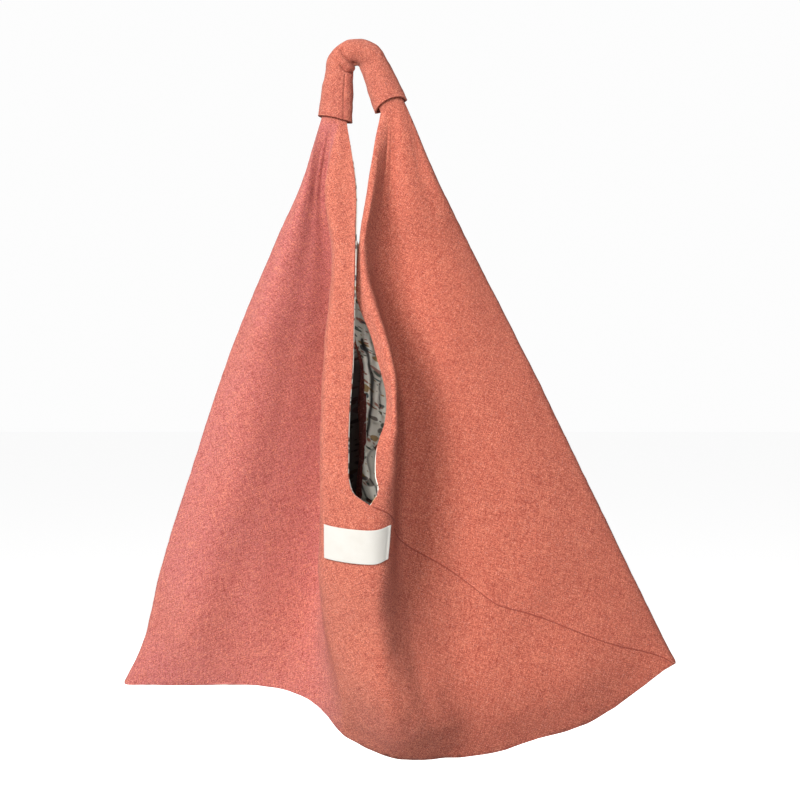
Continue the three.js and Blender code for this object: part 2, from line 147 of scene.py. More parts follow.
# Centre lines and hems: share of the way up to the notch, or from the notch to the handle, then
# across (SPREAD), then forward (REACH) at the front or behind (BACK) at the back.
CENTRE_FOOT = 0.993
CENTRE = [(0, 0.068, 0.3), (0.15, 0.06, 0.72), (0.5, 0.037, 0.95), (1, 0.027, 1)]
LEFT_HEM = [
    (0.027, 0.001, 0.99), (0.06, -0.008, 0.975), (0.117, -0.01, 0.93), (0.24, -0.008, 0.85),
    (0.329, -0.004, 0.77), (0.523, -0.002, 0.56), (0.686, -0.001, 0.39), (0.852, -0.002, 0.21),
]
RIGHT_HEM = [
    (0.03, 0.04, 0.95), (0.08, 0.036, 0.88), (0.146, 0.038, 0.81), (0.208, 0.05, 0.73),
    (0.27, 0.053, 0.67), (0.334, 0.046, 0.63), (0.43, 0.028, 0.51), (0.53, 0.003, 0.41),
    (0.656, 0.004, 0.33), (0.785, 0.016, 0.3), (0.883, 0.026, 0.27),
]
BACK_CENTRE = [(0, 0.038, 0), (0.16, 0.031, 0.45), (0.54, 0.012, 0.87), (1, -0.008, 1)]
BACK_LEFT_HEM = [
    (0.063, 0.004, 1.07), (0.127, 0.008, 1.14), (0.238, 0.008, 1.12),
    (0.365, 0.008, 1.05), (0.683, 0.004, 0.75), (0.841, -0.022, 0.5),
]
BACK_RIGHT_HEM = [
    (0.063, -0.004, 0.93), (0.127, -0.004, 0.88), (0.238, -0.004, 0.85),
    (0.365, -0.004, 0.78), (0.683, -0.002, 0.5), (0.841, 0.03, 0.4),
]
# Lines are numbered from the front centre: EDGE is the side fold, and there are CHAIN lines in all.
EDGE = len(LEFT_FRONT) + 2
CHAIN = EDGE + len(BACK_FOLDS) + 3
print("side fold is line", EDGE, "of", CHAIN)

# %% [markdown]
# ## Helpers for numbers
# Three helpers are used all through the lesson. They work on single numbers and on whole arrays, so
# thousands of points can be moved at once, which is much faster in Python than a loop.

# %% Helpers for numbers


def clamp(value, low=0.0, high=1.0):
    return np.minimum(np.maximum(value, low), high)


def ease(value, low, high):
    """Smooth step from 0 at low to 1 at high."""
    f = clamp((value - low) / (high - low))
    return f * f * (3 - 2 * f)


def mix(a, b, f):
    """The value a share f of the way from a to b."""
    return a + (b - a) * f


print("halfway up a smooth step:", ease(0.5, 0, 1))

# %% [markdown]
# ## The handle's path
# The two peaks come up, bend over the hang point and go down again inside the sleeve. A curve with
# a bevel would bend just as well, but the cloth below has to meet it point by point. So the path is
# a formula: an arc between two straight legs, with a flat ring round it that is narrower at the top.

# %% Handle path
# Radius of the bend and the lengths of the two legs.
ARC, LEFT_LEG, RIGHT_LEG = 16.2, 50.0, 46.0
LEFT_LEAN, RIGHT_LEAN = math.radians(4.9), math.radians(22.4)
# Half width of the ring at its mouths and at the crown, and half its depth.
SLEEVE_WIDE, CROWN_WIDE, SLEEVE_DEEP = 15.8, 12.4, 10.0
# The hems enter the sleeve this far round from its inner side.
HEM_TURN = math.radians(30)
TURN = math.pi - LEFT_LEAN - RIGHT_LEAN
ARC_LENGTH = ARC * TURN
HANDLE_LENGTH = LEFT_LEG + ARC_LENGTH + RIGHT_LEG


def handle_ring(way, turn, inset):
    """Points of the flat ring round the handle; turn runs from its inner side through the front."""
    way, turn = np.broadcast_arrays(np.asarray(way, float), np.asarray(turn, float))
    angle = math.pi - LEFT_LEAN - TURN * clamp((way - LEFT_LEG) / ARC_LENGTH)
    out = np.stack([np.cos(angle), 0 * angle, np.sin(angle)], -1)
    forth = np.stack([np.sin(angle), 0 * angle, -np.cos(angle)], -1)
    straight = np.minimum(way - LEFT_LEG, 0) + np.maximum(way - LEFT_LEG - ARC_LENGTH, 0)
    pinch = np.sin(math.pi * clamp(way / HANDLE_LENGTH)) ** 2
    wide = mix(SLEEVE_WIDE, CROWN_WIDE, pinch) - inset
    centre = np.array([0, 0, CROWN_WIDE - ARC]) + out * ARC + forth * straight[..., None]
    ahead = np.stack([0 * angle, -np.sin(turn) * (SLEEVE_DEEP - inset), 0 * angle], -1)
    return centre - out * (np.cos(turn) * wide)[..., None] + ahead


print("handle", round(HANDLE_LENGTH), "mm along its middle")

# %% [markdown]
# ## Smooth curves through the fold lines
# Two helpers do all the drawing: one runs a smooth curve up each fold line, and one runs a smooth
# curve across all the fold lines at one height. Both pass exactly through the given values. The
# second is the centripetal kind, which doesn't loop where two fold lines come close together.

# %% Curves up and across
CLOSEST = 1e-4  # fold lines count as at least this far apart


def up_curve(xs, ys, x):
    """Smooth values at x of a row of values ys that are given at xs."""
    xs, ys = np.asarray(xs, float), np.asarray(ys, float)
    step = np.diff(xs)
    chord = np.diff(ys) / step
    between = (chord[:-1] * step[1:] + chord[1:] * step[:-1]) / (step[:-1] + step[1:])
    slope = np.concatenate([chord[:1], between, chord[-1:]])
    i = np.clip(np.searchsorted(xs, x, side="left") - 1, 0, len(xs) - 2)
    f = (x - xs[i]) / step[i]
    g = 1 - f
    start = ys[i] * (1 + 2 * f) * g * g + slope[i] * step[i] * f * g * g
    return start + ys[i + 1] * (1 + 2 * g) * f * f - slope[i + 1] * step[i] * g * f * f


def across_curve(chain, t):
    """Centripetal curve through chain (rows, lines, 3) at line numbers t."""
    before = 2 * chain[:, :1] - chain[:, 1:2]
    after = 2 * chain[:, -1:] - chain[:, -2:-1]
    padded = np.concatenate([before, chain, after], 1)
    i = np.clip(np.floor(t).astype(int), 0, chain.shape[1] - 2)
    w = (t - i)[None, :, None]
    a, b, c, d = (padded[:, i + k] for k in range(4))
    gap = [
        np.maximum(np.linalg.norm(q - p, axis=-1, keepdims=True), CLOSEST) ** 0.5
        for p, q in ((a, b), (b, c), (c, d))
    ]
    m1 = ((b - a) / gap[0] - (c - a) / (gap[0] + gap[1]) + (c - b) / gap[1]) * gap[1]
    m2 = ((c - b) / gap[1] - (d - b) / (gap[1] + gap[2]) + (d - c) / gap[2]) * gap[1]
    return b + m1 * w + (3 * (c - b) - 2 * m1 - m2) * w**2 + (2 * (b - c) + m1 + m2) * w**3


print("middle of a test curve", up_curve([0, 1, 2], [0, 1, 4], np.array([1.5])))

# %% [markdown]
# ## Where fold lines enter the handle
# At the top all the fold lines of a side gather into the flat ring inside the sleeve. Each grid
# column gets its own place round that ring, and the two sides use the same ones, so that the peaks
# and the part inside the sleeve can be welded without a gap.

# %% Ends of the fold lines
PEAK_INSET = WALL + GAP + WALL
# Grid columns between one fold line and the next.
FINE = {
    "left": [14, 5, 14, 12, 14, 12, 3, 3, 10, 12, 22],
    "right": [8, 14, 12, 12, 14, 11, 3, 3, 10, 12, 22],
}
EDGE_COLUMN = sum(FINE["left"][:EDGE])
LAST_COLUMN = sum(FINE["left"])
print("columns to the side fold", EDGE_COLUMN, "and in all", LAST_COLUMN)


def ring_turn(column):
    """Turn round the handle of a column, so that the side fold lies along its outer side."""
    column = np.asarray(column)
    half = math.pi - HEM_TURN
    front = HEM_TURN + half * column / EDGE_COLUMN
    back = math.pi + half * (column - EDGE_COLUMN) / (LAST_COLUMN - EDGE_COLUMN)
    return np.where(column <= EDGE_COLUMN, front, back)


def line_end(side, k):
    """Where fold line k of a side meets the handle."""
    way = 0 if side == "left" else HANDLE_LENGTH
    return handle_ring(way, ring_turn(sum(FINE[side][:k])), PEAK_INSET)


def line_up(rows, foot, end, h):
    """A fold line's places at heights h, from rows of (height, across, forward)."""
    rows = [(a, b * SPREAD, -c * REACH, mix(-foot * DROP, -PEAK_START, a)) for a, b, c in rows]
    if end is not None:
        rows.append((1, *end))
    heights, *places = zip(*rows)
    return np.stack([up_curve(heights, values, h) for values in places], -1)


# %% [markdown]
# ## Front of one side
# The fold lines of a side run from the front centre round the side fold to the back centre. Below
# the notch the two sides share their centre line. Above it the line parts and becomes the two hems
# of the mouth, so a centre line is worked out as two curves that meet at the notch.

# %% Front of one side
FOLD_ROOM = 0.4  # a side fold takes at most this share of the room beside it
GATHERED = 0.9  # from this height up, the side folds flatten into the handle
PARTING = 0.1  # above a notch, this much height passes before the hems curve on their own


def split_line(centre, hem, notch, foot, end, h):
    """A centre line up to its notch, and a hem from there to the handle."""
    low = [(share * notch, *rest) for share, *rest in centre]
    high = low + [(mix(notch, 1, share), *rest) for share, *rest in hem]
    below = line_up(low, foot, None, np.minimum(h, notch))
    above = line_up(high, foot, end, np.maximum(h, notch))
    return np.where((h <= notch)[:, None], below, above)


def front_lines(side, h):
    left = side == "left"
    edge = LEFT_EDGE if left else RIGHT_EDGE
    hem = LEFT_HEM if left else RIGHT_HEM
    lines = [split_line(CENTRE, hem, NOTCH, CENTRE_FOOT, line_end(side, 0), h)]
    for k, (foot, across, forward) in enumerate(LEFT_FRONT if left else RIGHT_FRONT, 1):
        rows = list(zip(HEIGHTS, across, forward))
        lines.append(line_up(rows, foot, line_end(side, k), h))
    fold = line_up(list(zip(HEIGHTS, edge[1], edge[2])), edge[0], line_end(side, EDGE), h)
    return lines + [beside_fold(side, EDGE - 1, fold, lines[-1], h, -1), fold]


def beside_fold(side, k, fold, neighbour, h, way):
    """The line just inside the side fold: in front of it for way -1, behind it for way 1."""
    room = neighbour[:, 0] - fold[:, 0]
    inward = np.sign(room) * np.minimum(FOLD, FOLD_ROOM * np.abs(room))
    point = fold + np.stack([inward, 0 * inward + way * FOLD, 0 * inward], -1)
    return mix(point, line_end(side, k), ease(h, GATHERED, 1)[:, None])


def with_lead(lines, other, h, notch):
    """Put the other side's next line, or a free end above the notch, before the first line."""
    free = 2 * lines[0] - lines[1]
    return np.stack([mix(other, free, ease(h, notch, notch + PARTING)[:, None]), *lines], 1)


def front_chain(side, h):
    other = front_lines("right" if side == "left" else "left", h)[1]
    return with_lead(front_lines(side, h), other, h, NOTCH)


def base_fold():
    """The front's lowest line, from the left corner to the right, for the back to meet."""
    ground = np.zeros(1)
    along = np.linspace(1, EDGE + 1, 71)
    runs = [across_curve(front_chain(side, ground), along)[0] for side in ("left", "right")]
    line = np.concatenate(runs)
    return line[np.argsort(line[:, 0], kind="stable")]


BASE_FOLD = base_fold()
print("base fold reaches from", BASE_FOLD[0, 0].round(), "to", BASE_FOLD[-1, 0].round(), "mm")

# %% [markdown]
# ## Back of one side
# The back hangs from the same handle and has to meet the front along the base fold, or the bag would
# stand open at the bottom. So each back line looks up how low and how far forward the front's lowest
# line is below it, and starts just behind that. Then front and back are joined round the side fold.

# %% Back of one side


def back_lines(side, h):
    left = side == "left"
    edge = LEFT_EDGE if left else RIGHT_EDGE
    hem = BACK_LEFT_HEM if left else BACK_RIGHT_HEM
    levels = np.array(HEIGHTS, float)
    centre = split_line(BACK_CENTRE, hem, BACK_NOTCH, 0, None, levels)[:, 0] / SPREAD
    lines = []
    for k in range(len(BACK_FOLDS) + 1):
        if k < len(BACK_FOLDS):
            inward, behind = BACK_FOLDS[k]
            rows = [(a, mix(b, c, inward), d) for a, b, c, d in zip(HEIGHTS, edge[1], centre, behind)]
        else:
            rows = BACK_CENTRE
        x = rows[0][1] * SPREAD
        base = [np.interp(x, BASE_FOLD[:, 0], BASE_FOLD[:, axis]) for axis in (1, 2)]
        meet = -(base[0] + 2 * FOLD) / REACH
        placed = [(a, b, meet if i == 0 else -c * BACK / REACH) for i, (a, b, c) in enumerate(rows)]
        end = line_end(side, EDGE + 2 + k)
        if k < len(BACK_FOLDS):
            lines.append(line_up(placed, -base[1] / DROP, end, h))
        else:
            hems = [(a, b, -c * BACK / REACH) for a, b, c in hem]
            lines.append(split_line(placed, hems, BACK_NOTCH, -base[1] / DROP, end, h))
    return lines


def side_cloth(side, h, t):
    """Middle of the cloth at heights h and line numbers t: an array (rows, columns, 3)."""
    front = front_lines(side, h)
    back = back_lines(side, h)
    first = beside_fold(side, EDGE + 1, front[EDGE], front[EDGE - 2], h, 1)
    whole = [front[EDGE - 1], front[EDGE], first, *back]
    other = back_lines("right" if side == "left" else "left", h)[-2]
    tail = with_lead(whole[::-1], other, h, BACK_NOTCH)[:, ::-1]
    ahead = across_curve(front_chain(side, h), t[t <= EDGE] + 1)
    behind = across_curve(tail, t[t > EDGE] - EDGE + 1)
    return np.concatenate([ahead, behind], 1)


corners = [side_cloth(side, np.zeros(1), np.array([float(EDGE)]))[0, 0].round() for side in FINE]
print("bottom corners", *corners)

# %% [markdown]
# ## Two seams
# The long strip is sewn to itself along two straight seams. Each runs from a notch down to a bottom
# corner: to the right one on the front, to the left one on the back. A seam could be a cut with two
# cloths overlapping, but all that is seen is a narrow groove with the upper cloth standing a little
# proud. So every point only gets its distance from the seam, which relief and colour use later.

# %% Seam lines
# Each seam is a list of places: fold line, then height.
FRONT_SEAM = [
    (0, NOTCH), (1, 0.388), (2, 0.345), (3, 0.298), (3.5, 0.27), (4, 0.234),
    (4.5, 0.203), (5, 0.153), (5.5, 0.071), (6, 0.004), (7, 0),
]
BACK_SEAM = [(7, 0), (8, 0.004), (9, 0.12), (10, 0.25), (11, BACK_NOTCH)]
COLUMN_TALL = DROP - PEAK_START
SEAM_SLANT = 0.86  # distance across the seam for each millimetre straight up
FAR = 60.0  # distance that is written where a side has no seam


def seam_distance(side, t, h):
    """How far above the seam (negative below) each point lies, in mm."""
    lines, heights = zip(*(FRONT_SEAM if side == "right" else BACK_SEAM))
    seam_height = up_curve(lines, heights, np.clip(t, lines[0], lines[-1]))
    distance = (h[:, None] - seam_height) * COLUMN_TALL * SEAM_SLANT
    beyond = t > EDGE if side == "right" else t < EDGE
    return np.where(beyond[None, :], FAR, distance)


print("seams run down", round(NOTCH * COLUMN_TALL), "mm at the front")

# %% [markdown]
# ## A grid for the cloth
# Cloth is one even sheet, so it starts as a plain grid whose points are then moved onto the curves.
# That keeps rows and columns in order, which a lofted or sculpted shape would lose. Every corner of
# a face also gets its place on the flat cloth, so that threads keep their size in the folds.

# %% A grid on the curves
# Rows from the base up: to the back notch, on to the front notch, and on to the handle.
HEIGHT_ROWS = np.concatenate([
    np.linspace(0, BACK_NOTCH, 54),
    np.linspace(BACK_NOTCH, NOTCH, 6)[1:],
    np.linspace(NOTCH, 1, 85)[1:],
])
HEM_CROWDING = 1.8  # columns lie closer together towards the back hems, which are rolled


def column_numbers():
    """Column numbers, the last stretch crowded towards the hem."""
    count = FINE["left"][-1]
    share = 1 - (1 - np.arange(count + 1) / count) ** HEM_CROWDING
    return np.concatenate([np.arange(LAST_COLUMN - count), LAST_COLUMN - count + count * share])


def fold_columns(side):
    starts = np.concatenate([[0], np.cumsum(FINE[side])])
    return np.interp(column_numbers(), starts, np.arange(CHAIN))


def place_grid(bm, places, flat, marks):
    """Add a grid, move its points to places (mm) and write flat places (mm) and marks on it."""
    if bm.loops.layers.uv.get("UVMap") is None:
        bm.loops.layers.uv.new("UVMap")
    for name in marks:
        if bm.verts.layers.float.get(name) is None:
            bm.verts.layers.float.new(name)
    layers = {name: bm.verts.layers.float[name] for name in marks}
    uv = bm.loops.layers.uv["UVMap"]
    rows, columns = places.shape[:2]
    made = bmesh.ops.create_grid(bm, x_segments=columns - 1, y_segments=rows - 1, size=1.0)
    verts = made["verts"]
    order = {vert: i for i, vert in enumerate(verts)}
    for vert, place in zip(verts, places.reshape(-1, 3) * MM):
        vert.co = place
    for name, layer in layers.items():
        for vert, value in zip(verts, marks[name].ravel()):
            vert[layer] = value
    spread = flat.reshape(-1, 2) * MM
    for face in {face for vert in verts for face in vert.link_faces}:
        for loop in face.loops:
            loop[uv].uv = spread[order[loop.vert]]


print("grid of", len(HEIGHT_ROWS), "rows and", LAST_COLUMN + 1, "columns")

# %% [markdown]
# ## A rolled hem
# Through the mouth one sees that the right back hem has rolled over towards the front, as loose hems
# do. Bending the finished mesh would stretch it. Here the last millimetres of each grid row are laid
# round a small half circle and then straight back, so the cloth keeps its length.

# %% Rolled hem
# Cloth that rolls over, radius of the roll, and how far from the hem the cloth is pulled along.
ROLL_LENGTH, ROLL_RADIUS, ROLL_PULL = 10.5, 2.6, 70.0
# How far the hem is pulled over the other one, and how much more near the notch.
ROLL_SHIFT, NOTCH_PULL = 3.5, 3.0
# Heights between which the roll starts, ends, and loses its extra pull.
ROLL_STARTS, ROLL_ENDS, PULL_ENDS = (0.372, 0.4), (0.61, 0.68), (0.42, 0.48)
HEM_STRETCH = 6  # columns that give the direction of the hem


def roll_amount(heights):
    return ease(heights, *ROLL_STARTS) * (1 - ease(heights, *ROLL_ENDS))


def roll_back_hem(places, heights):
    """Turn the last millimetres of the rows towards the front, as a hem that rolls over."""
    amount = roll_amount(heights)
    step = np.linalg.norm(np.diff(places, axis=1), axis=-1)
    run = np.cumsum(step[:, ::-1], axis=1)[:, ::-1]
    to_hem = np.concatenate([run, np.zeros((len(places), 1))], 1)
    along = places[:, -1] - places[:, -HEM_STRETCH]
    along /= np.linalg.norm(along, axis=-1, keepdims=True)
    ahead = np.array([0, -1, 0]) + along[:, 1:2] * along
    ahead /= np.linalg.norm(ahead, axis=-1, keepdims=True)
    rolled = (amount * ROLL_LENGTH)[:, None]
    start = places[:, -1:] - along[:, None] * rolled[..., None]
    over = np.maximum(rolled - to_hem, 0)
    half_turn = math.pi * ROLL_RADIUS
    bend = np.minimum(over, half_turn) / ROLL_RADIUS
    out = ROLL_RADIUS * np.sin(bend) - np.maximum(over - half_turn, 0)
    lift = ROLL_RADIUS * (1 - np.cos(bend))
    turned = start + along[:, None] * out[..., None] + ahead[:, None] * lift[..., None]
    moved = np.where((over > 0)[..., None], turned, places)
    extra = NOTCH_PULL * (1 - ease(heights, *PULL_ENDS))
    pull = (amount * (ROLL_SHIFT + extra))[:, None] * (1 - ease(to_hem, ROLL_LENGTH, ROLL_PULL))
    return moved + along[:, None] * pull[..., None]


print("hem rolls over", ROLL_LENGTH, "mm of cloth")

# %% [markdown]
# ## Two halves and their marks
# The bag cloth has a left and a right half. Besides its place, every point carries marks that later
# cells read: its fold line (negative on the left) and height, its distance from the seam, the way out
# of the cloth at a hem, a hue from pinkish (1) to brownish (-1), and how much painted shade it takes.
# The pinkish hue is painted light, the cooler light on the left panel. The painted shade lies deep
# inside the bag, where little light reaches.
# Marks are attributes, so they stay with the points when the mesh is welded, refined and copied.

# %% Halves
# Fold lines between which the hue sets in, and how many lines behind the side fold it fades over.
# On the left the hue is a pinkish tint of painted light.
HUE_STARTS, HUE_FADES = (1.4, 2.6), 3
# Fold lines between which painted shade sets in: on the outside of the rolled hem, and on the lining
# beside the other back hem, both deep in the mouth where little light reaches.
ROLLED_SHADE_LINES, OTHER_SHADE_LINES = (10.78, 10.9), (9.8, 10.5)
OUT_MARKS = ("out_x", "out_y", "out_z")


def hem_direction(places, heights):
    """Unit vectors out of the cloth at its hems above the notches, and nothing elsewhere."""
    out = np.zeros_like(places)
    for column, beside, notch in ((0, 1, NOTCH), (-1, -2, BACK_NOTCH)):
        way = places[:, column] - places[:, beside]
        way /= np.linalg.norm(way, axis=-1, keepdims=True)
        out[:, column] = way * ((heights > notch) & (heights < 1))[:, None]
    return out


def flat_places(places, side):
    """How far across each point lies on the flat cloth, from the front centre."""
    level = np.hypot(*np.moveaxis(np.diff(places[..., :2], axis=1), -1, 0))
    across = np.concatenate([np.zeros((len(places), 1)), np.cumsum(level, axis=1)], 1)
    start = places[:, 0, 0]
    below_notch = np.minimum(np.arange(len(start)), np.searchsorted(HEIGHT_ROWS, NOTCH))
    mirrored = 2 * start[below_notch] - start
    return across + (start if side == "right" else mirrored)[:, None]


def half_marks(side, t, places):
    """Marks of one half; inner holds painted shade, negative on the left, where only the lining takes it.
    """
    sign = -1 if side == "left" else 1
    shape = places.shape[:2]
    out = hem_direction(places, HEIGHT_ROWS)
    hue = -sign * ease(t, *HUE_STARTS) * (1 - ease(t, EDGE, EDGE + HUE_FADES))
    # Painted shade deep in the mouth: the outside of the rolled hem on the right, the lining near the
    # back hem on the left.
    dark = ease(t, *(ROLLED_SHADE_LINES if side == "right" else OTHER_SHADE_LINES))
    marks = {
        "line": np.broadcast_to(sign * t, shape),
        "height": np.broadcast_to(HEIGHT_ROWS[:, None], shape),
        "seam": seam_distance(side, t, HEIGHT_ROWS),
        "hue": np.broadcast_to(hue, shape),
        "inner": sign * roll_amount(HEIGHT_ROWS)[:, None] * dark,
    }
    return marks | {name: out[..., axis] for axis, name in enumerate(OUT_MARKS)}


def half_sheet(bm, side):
    t = fold_columns(side)
    places = side_cloth(side, HEIGHT_ROWS, t)
    way = 0 if side == "left" else HANDLE_LENGTH
    places[-1] = handle_ring(way, ring_turn(column_numbers()), PEAK_INSET)
    across = flat_places(places, side)
    if side == "right":
        places = roll_back_hem(places, HEIGHT_ROWS)
    flat = np.stack([across, places[..., 2]], -1)
    marks = half_marks(side, t, places)
    if side == "left":
        places, flat = places[:, ::-1], flat[:, ::-1]
        marks = {name: value[:, ::-1] for name, value in marks.items()}
    place_grid(bm, places, flat, marks)


print("marks on the cloth: line, height, seam, hue, inner,", *OUT_MARKS)

# %% [markdown]
# ## The whole bag cloth
# Halves, the part inside the sleeve and a narrow bottom are welded into one sheet, as the real cloth
# is one piece after sewing. Only the seams need a finer mesh, so only the edges near them are
# divided. Then the normals are worked out again, so that the outside faces outwards.

# %% Whole bag cloth
WELD = 0.02 * MM
PEAK_ROWS = 25
SEAM_REACH, SEAM_CUTS = 8, 2


def peak_part(bm):
    ways = np.linspace(0, HANDLE_LENGTH, PEAK_ROWS)
    turns = ring_turn(column_numbers())[::-1]
    places = handle_ring(ways[:, None], turns[None, :], PEAK_INSET)
    flat = np.stack(np.broadcast_arrays(turns[None, :] * SLEEVE_WIDE, ways[:, None]), -1)
    none = np.zeros(places.shape[:2])
    marks = {name: none for name in ("line", "hue", "inner", *OUT_MARKS)}
    marks |= {"height": none + 1, "seam": none + FAR}
    place_grid(bm, places, flat, marks)


def refine_seams(bm, reach, cuts):
    seam = bm.verts.layers.float["seam"]
    near = [edge for edge in bm.edges if all(abs(vert[seam]) < reach for vert in edge.verts)]
    bmesh.ops.subdivide_edges(bm, edges=near, cuts=cuts, use_grid_fill=True)


def bag_cloth():
    bm = bmesh.new()
    for side in ("left", "right"):
        half_sheet(bm, side)
    peak_part(bm)
    bmesh.ops.remove_doubles(bm, verts=bm.verts[:], dist=WELD)
    height = bm.verts.layers.float["height"]
    bottom = [
        edge for edge in bm.edges
        if edge.is_boundary and all(vert[height] == 0 for vert in edge.verts)
    ]
    bmesh.ops.triangle_fill(bm, use_beauty=False, use_dissolve=False, edges=bottom, normal=(0, 0, -1))
    refine_seams(bm, reach=SEAM_REACH, cuts=SEAM_CUTS)
    bmesh.ops.recalc_face_normals(bm, faces=bm.faces[:])
    front = min(bm.faces, key=lambda face: face.calc_center_median().y)
    if front.normal.y > 0:
        bmesh.ops.reverse_faces(bm, faces=bm.faces[:])
    return bm


def make_object(name, bm):
    mesh = bpy.data.meshes.new(name)
    bm.to_mesh(mesh)
    bm.free()
    mesh.polygons.foreach_set("use_smooth", [True] * len(mesh.polygons))
    piece = bpy.data.objects.new(name, mesh)
    bpy.context.scene.collection.objects.link(piece)
    return piece


outer = make_object("outer_cloth", bag_cloth())
print("cloth", len(outer.data.vertices), "points", len(outer.data.polygons), "faces")

# %% [markdown]
# ## Lines as they are seen from the front
# Small creases are easiest to place where the eye sees them. A point is carried along its line of
# sight onto the hang plane, and the distance to a drawn line there says how much it moves.

# %% Seen lines
BEYOND = 1e9


def seen(points):
    """Where points appear on the hang plane: across and up, in mm."""
    scale = VIEW_DISTANCE / (VIEW_DISTANCE + points[:, 1])
    centre = np.array(PICTURE_CENTRE)
    return centre + (points[:, [0, 2]] - centre) * scale[:, None]


def near_line(points, line, width):
    """1 on the drawn line, falling to 0 beside it and past its ends."""
    spots = seen(points)
    best = np.full(len(spots), BEYOND)
    for a, b in zip(np.array(line[:-1], float), np.array(line[1:], float)):
        run = b - a
        f = clamp(((spots - a) @ run) / (run @ run))
        best = np.minimum(best, np.linalg.norm(spots - a - f[:, None] * run, axis=1))
    return np.exp(-((best / width) ** 2))


print("the hang point is seen at", seen(np.zeros((1, 3)))[0].round(1))

# %% [markdown]
# ## Reading and writing many points
# Blender gives a mesh's points one by one or all together. With tens of thousands of them only the
# second way is quick: foreach_get fills one long array and foreach_set writes it back.

# %% Points and marks as arrays


def get_points(piece):
    points = np.empty(len(piece.data.vertices) * 3)
    piece.data.vertices.foreach_get("co", points)
    return points.reshape(-1, 3) / MM


def set_points(piece, points):
    piece.data.vertices.foreach_set("co", (points * MM).ravel())
    piece.data.update()


def get_normals(piece):
    normals = np.empty(len(piece.data.vertices) * 3)
    piece.data.vertex_normals.foreach_get("vector", normals)
    return normals.reshape(-1, 3)


def get_mark(piece, name):
    values = np.empty(len(piece.data.vertices))
    piece.data.attributes[name].data.foreach_get("value", values)
    return values


print("points read:", len(get_points(outer)))

# %% [markdown]
# ## Relief of the hanging cloth
# Real linen never hangs perfectly smooth. It has a slow roll, a slight crumple, and small gathers
# that fan out under the handle. The ridge at the front was once pressed, so its left side keeps a
# crisp step. A displacement texture would need a much finer mesh than this. Instead the points move
# along their normals, before the lining is copied, so that the two cloths stay together.

# %% Waves
# Rise in mm, wavelength in mm and seed.
SLOW_ROLL, SHORT_ROLL, CRUMPLE = (2.6, 62, 3), (0.9, 21, 8), (0.35, 8, 5)


def wave(points, length, seed):
    """Smooth noise of one wavelength at each point, about -0.5 to 0.5."""
    shift = Vector((seed, 2.3 * seed, 0.7 * seed))
    return np.array([noise.noise(Vector(point) / length + shift) for point in points])


def swell(points, rise, length, seed):
    return rise * wave(points, length, seed)


print("slow roll", swell(get_points(outer), *SLOW_ROLL).max().round(2), "mm at most")

# %% [markdown]
# ## Gathers, ridge and seams
# Besides the waves, the cloth has forms that belong to certain places, and the marks on the points
# say where these are. Gathers fan out along the fold lines, the pressed step follows the ridge, and
# the groove follows the seam's distance. Near the side folds and the handle the relief grows calm, so
# that the outline stays the drawn one.

# %% Relief
HELD_FROM, CALM_BESIDE, CALM = (0.95, 0.995), (0.8, 2.4), 0.2
GATHER_RISE, GATHER_HEIGHTS = 1.2, (0.5, 0.93)
FAN = (2.4, 9, 2.6)  # gathers per fold line, between the two sides, and up the bag
# The pressed step: rise, heights where it sets in, and lines where it ends left and right.
PRESSED_STEP, PRESSED_HEIGHTS = 1.2, (0.66, 0.8)
PRESSED_LEFT, PRESSED_RIGHT = (1.0, 1.3), (0, 1.8)
# The groove: depth, half width, how proud the upper cloth stands, and over which distances.
SEAM_DEPTH, SEAM_HALF, SEAM_PROUD = 0.8, 0.9, 0.35
PROUD_RISES, PROUD_FALLS = (-0.6, 1.2), (2, 12)
# The ridge is narrow here, so its right side is brought out a little: rise, half width and line.
RIDGE_WIDEN, RIDGE_HALF, RIDGE_SIDE = 1.6, 9, [(37, -292), (37, -338)]
RIDGE_LINES = (0.7, 2)


def seam_relief(seam):
    proud = ease(seam, *PROUD_RISES) * (1 - ease(seam, *PROUD_FALLS))
    return -SEAM_DEPTH * np.exp(-((seam / SEAM_HALF) ** 2)) + SEAM_PROUD * proud


def pressed_step(line, height):
    left, right = 1 - ease(-line, *PRESSED_LEFT), 1 - ease(line, *PRESSED_RIGHT)
    return PRESSED_STEP * np.where(line < 0, left, right) * ease(height, *PRESSED_HEIGHTS)


def bag_relief(piece):
    points = get_points(piece)
    line, height, seam = (get_mark(piece, name) for name in ("line", "height", "seam"))
    free = 1 - ease(height, *HELD_FROM)
    open_side = ease(np.abs(np.abs(line) - EDGE), *CALM_BESIDE)
    roll = (swell(points, *SLOW_ROLL) + swell(points, *SHORT_ROLL)) * mix(CALM, 1, open_side)
    roll += swell(points, *CRUMPLE)
    fan = np.stack([line * FAN[0] + FAN[1] * np.sign(line), height * FAN[2], 0 * line], -1)
    gathers = GATHER_RISE * ease(height, *GATHER_HEIGHTS) * wave(fan, 1, 1) * open_side
    beside_ridge = (line > RIDGE_LINES[0]) & (line < RIDGE_LINES[1])
    ridge = near_line(points, RIDGE_SIDE, RIDGE_HALF) * beside_ridge
    rise = (roll + gathers + pressed_step(line, height) + RIDGE_WIDEN * ridge) * free
    rise += seam_relief(seam)
    set_points(piece, points + get_normals(piece) * rise[:, None])
    print(piece.name, "relief", rise.min().round(2), "to", rise.max().round(2), "mm")


bag_relief(outer)

# %% [markdown]
# ## Thickness
# A single sheet would look like paper at its hems. A Solidify modifier gives it a second side, and a
# small bevel rounds the hems. The bevel acts only on edges sharper than an angle, because on every
# edge it would make the mesh four times as heavy.

# %% Thickness
RIM_ANGLE = math.radians(65)


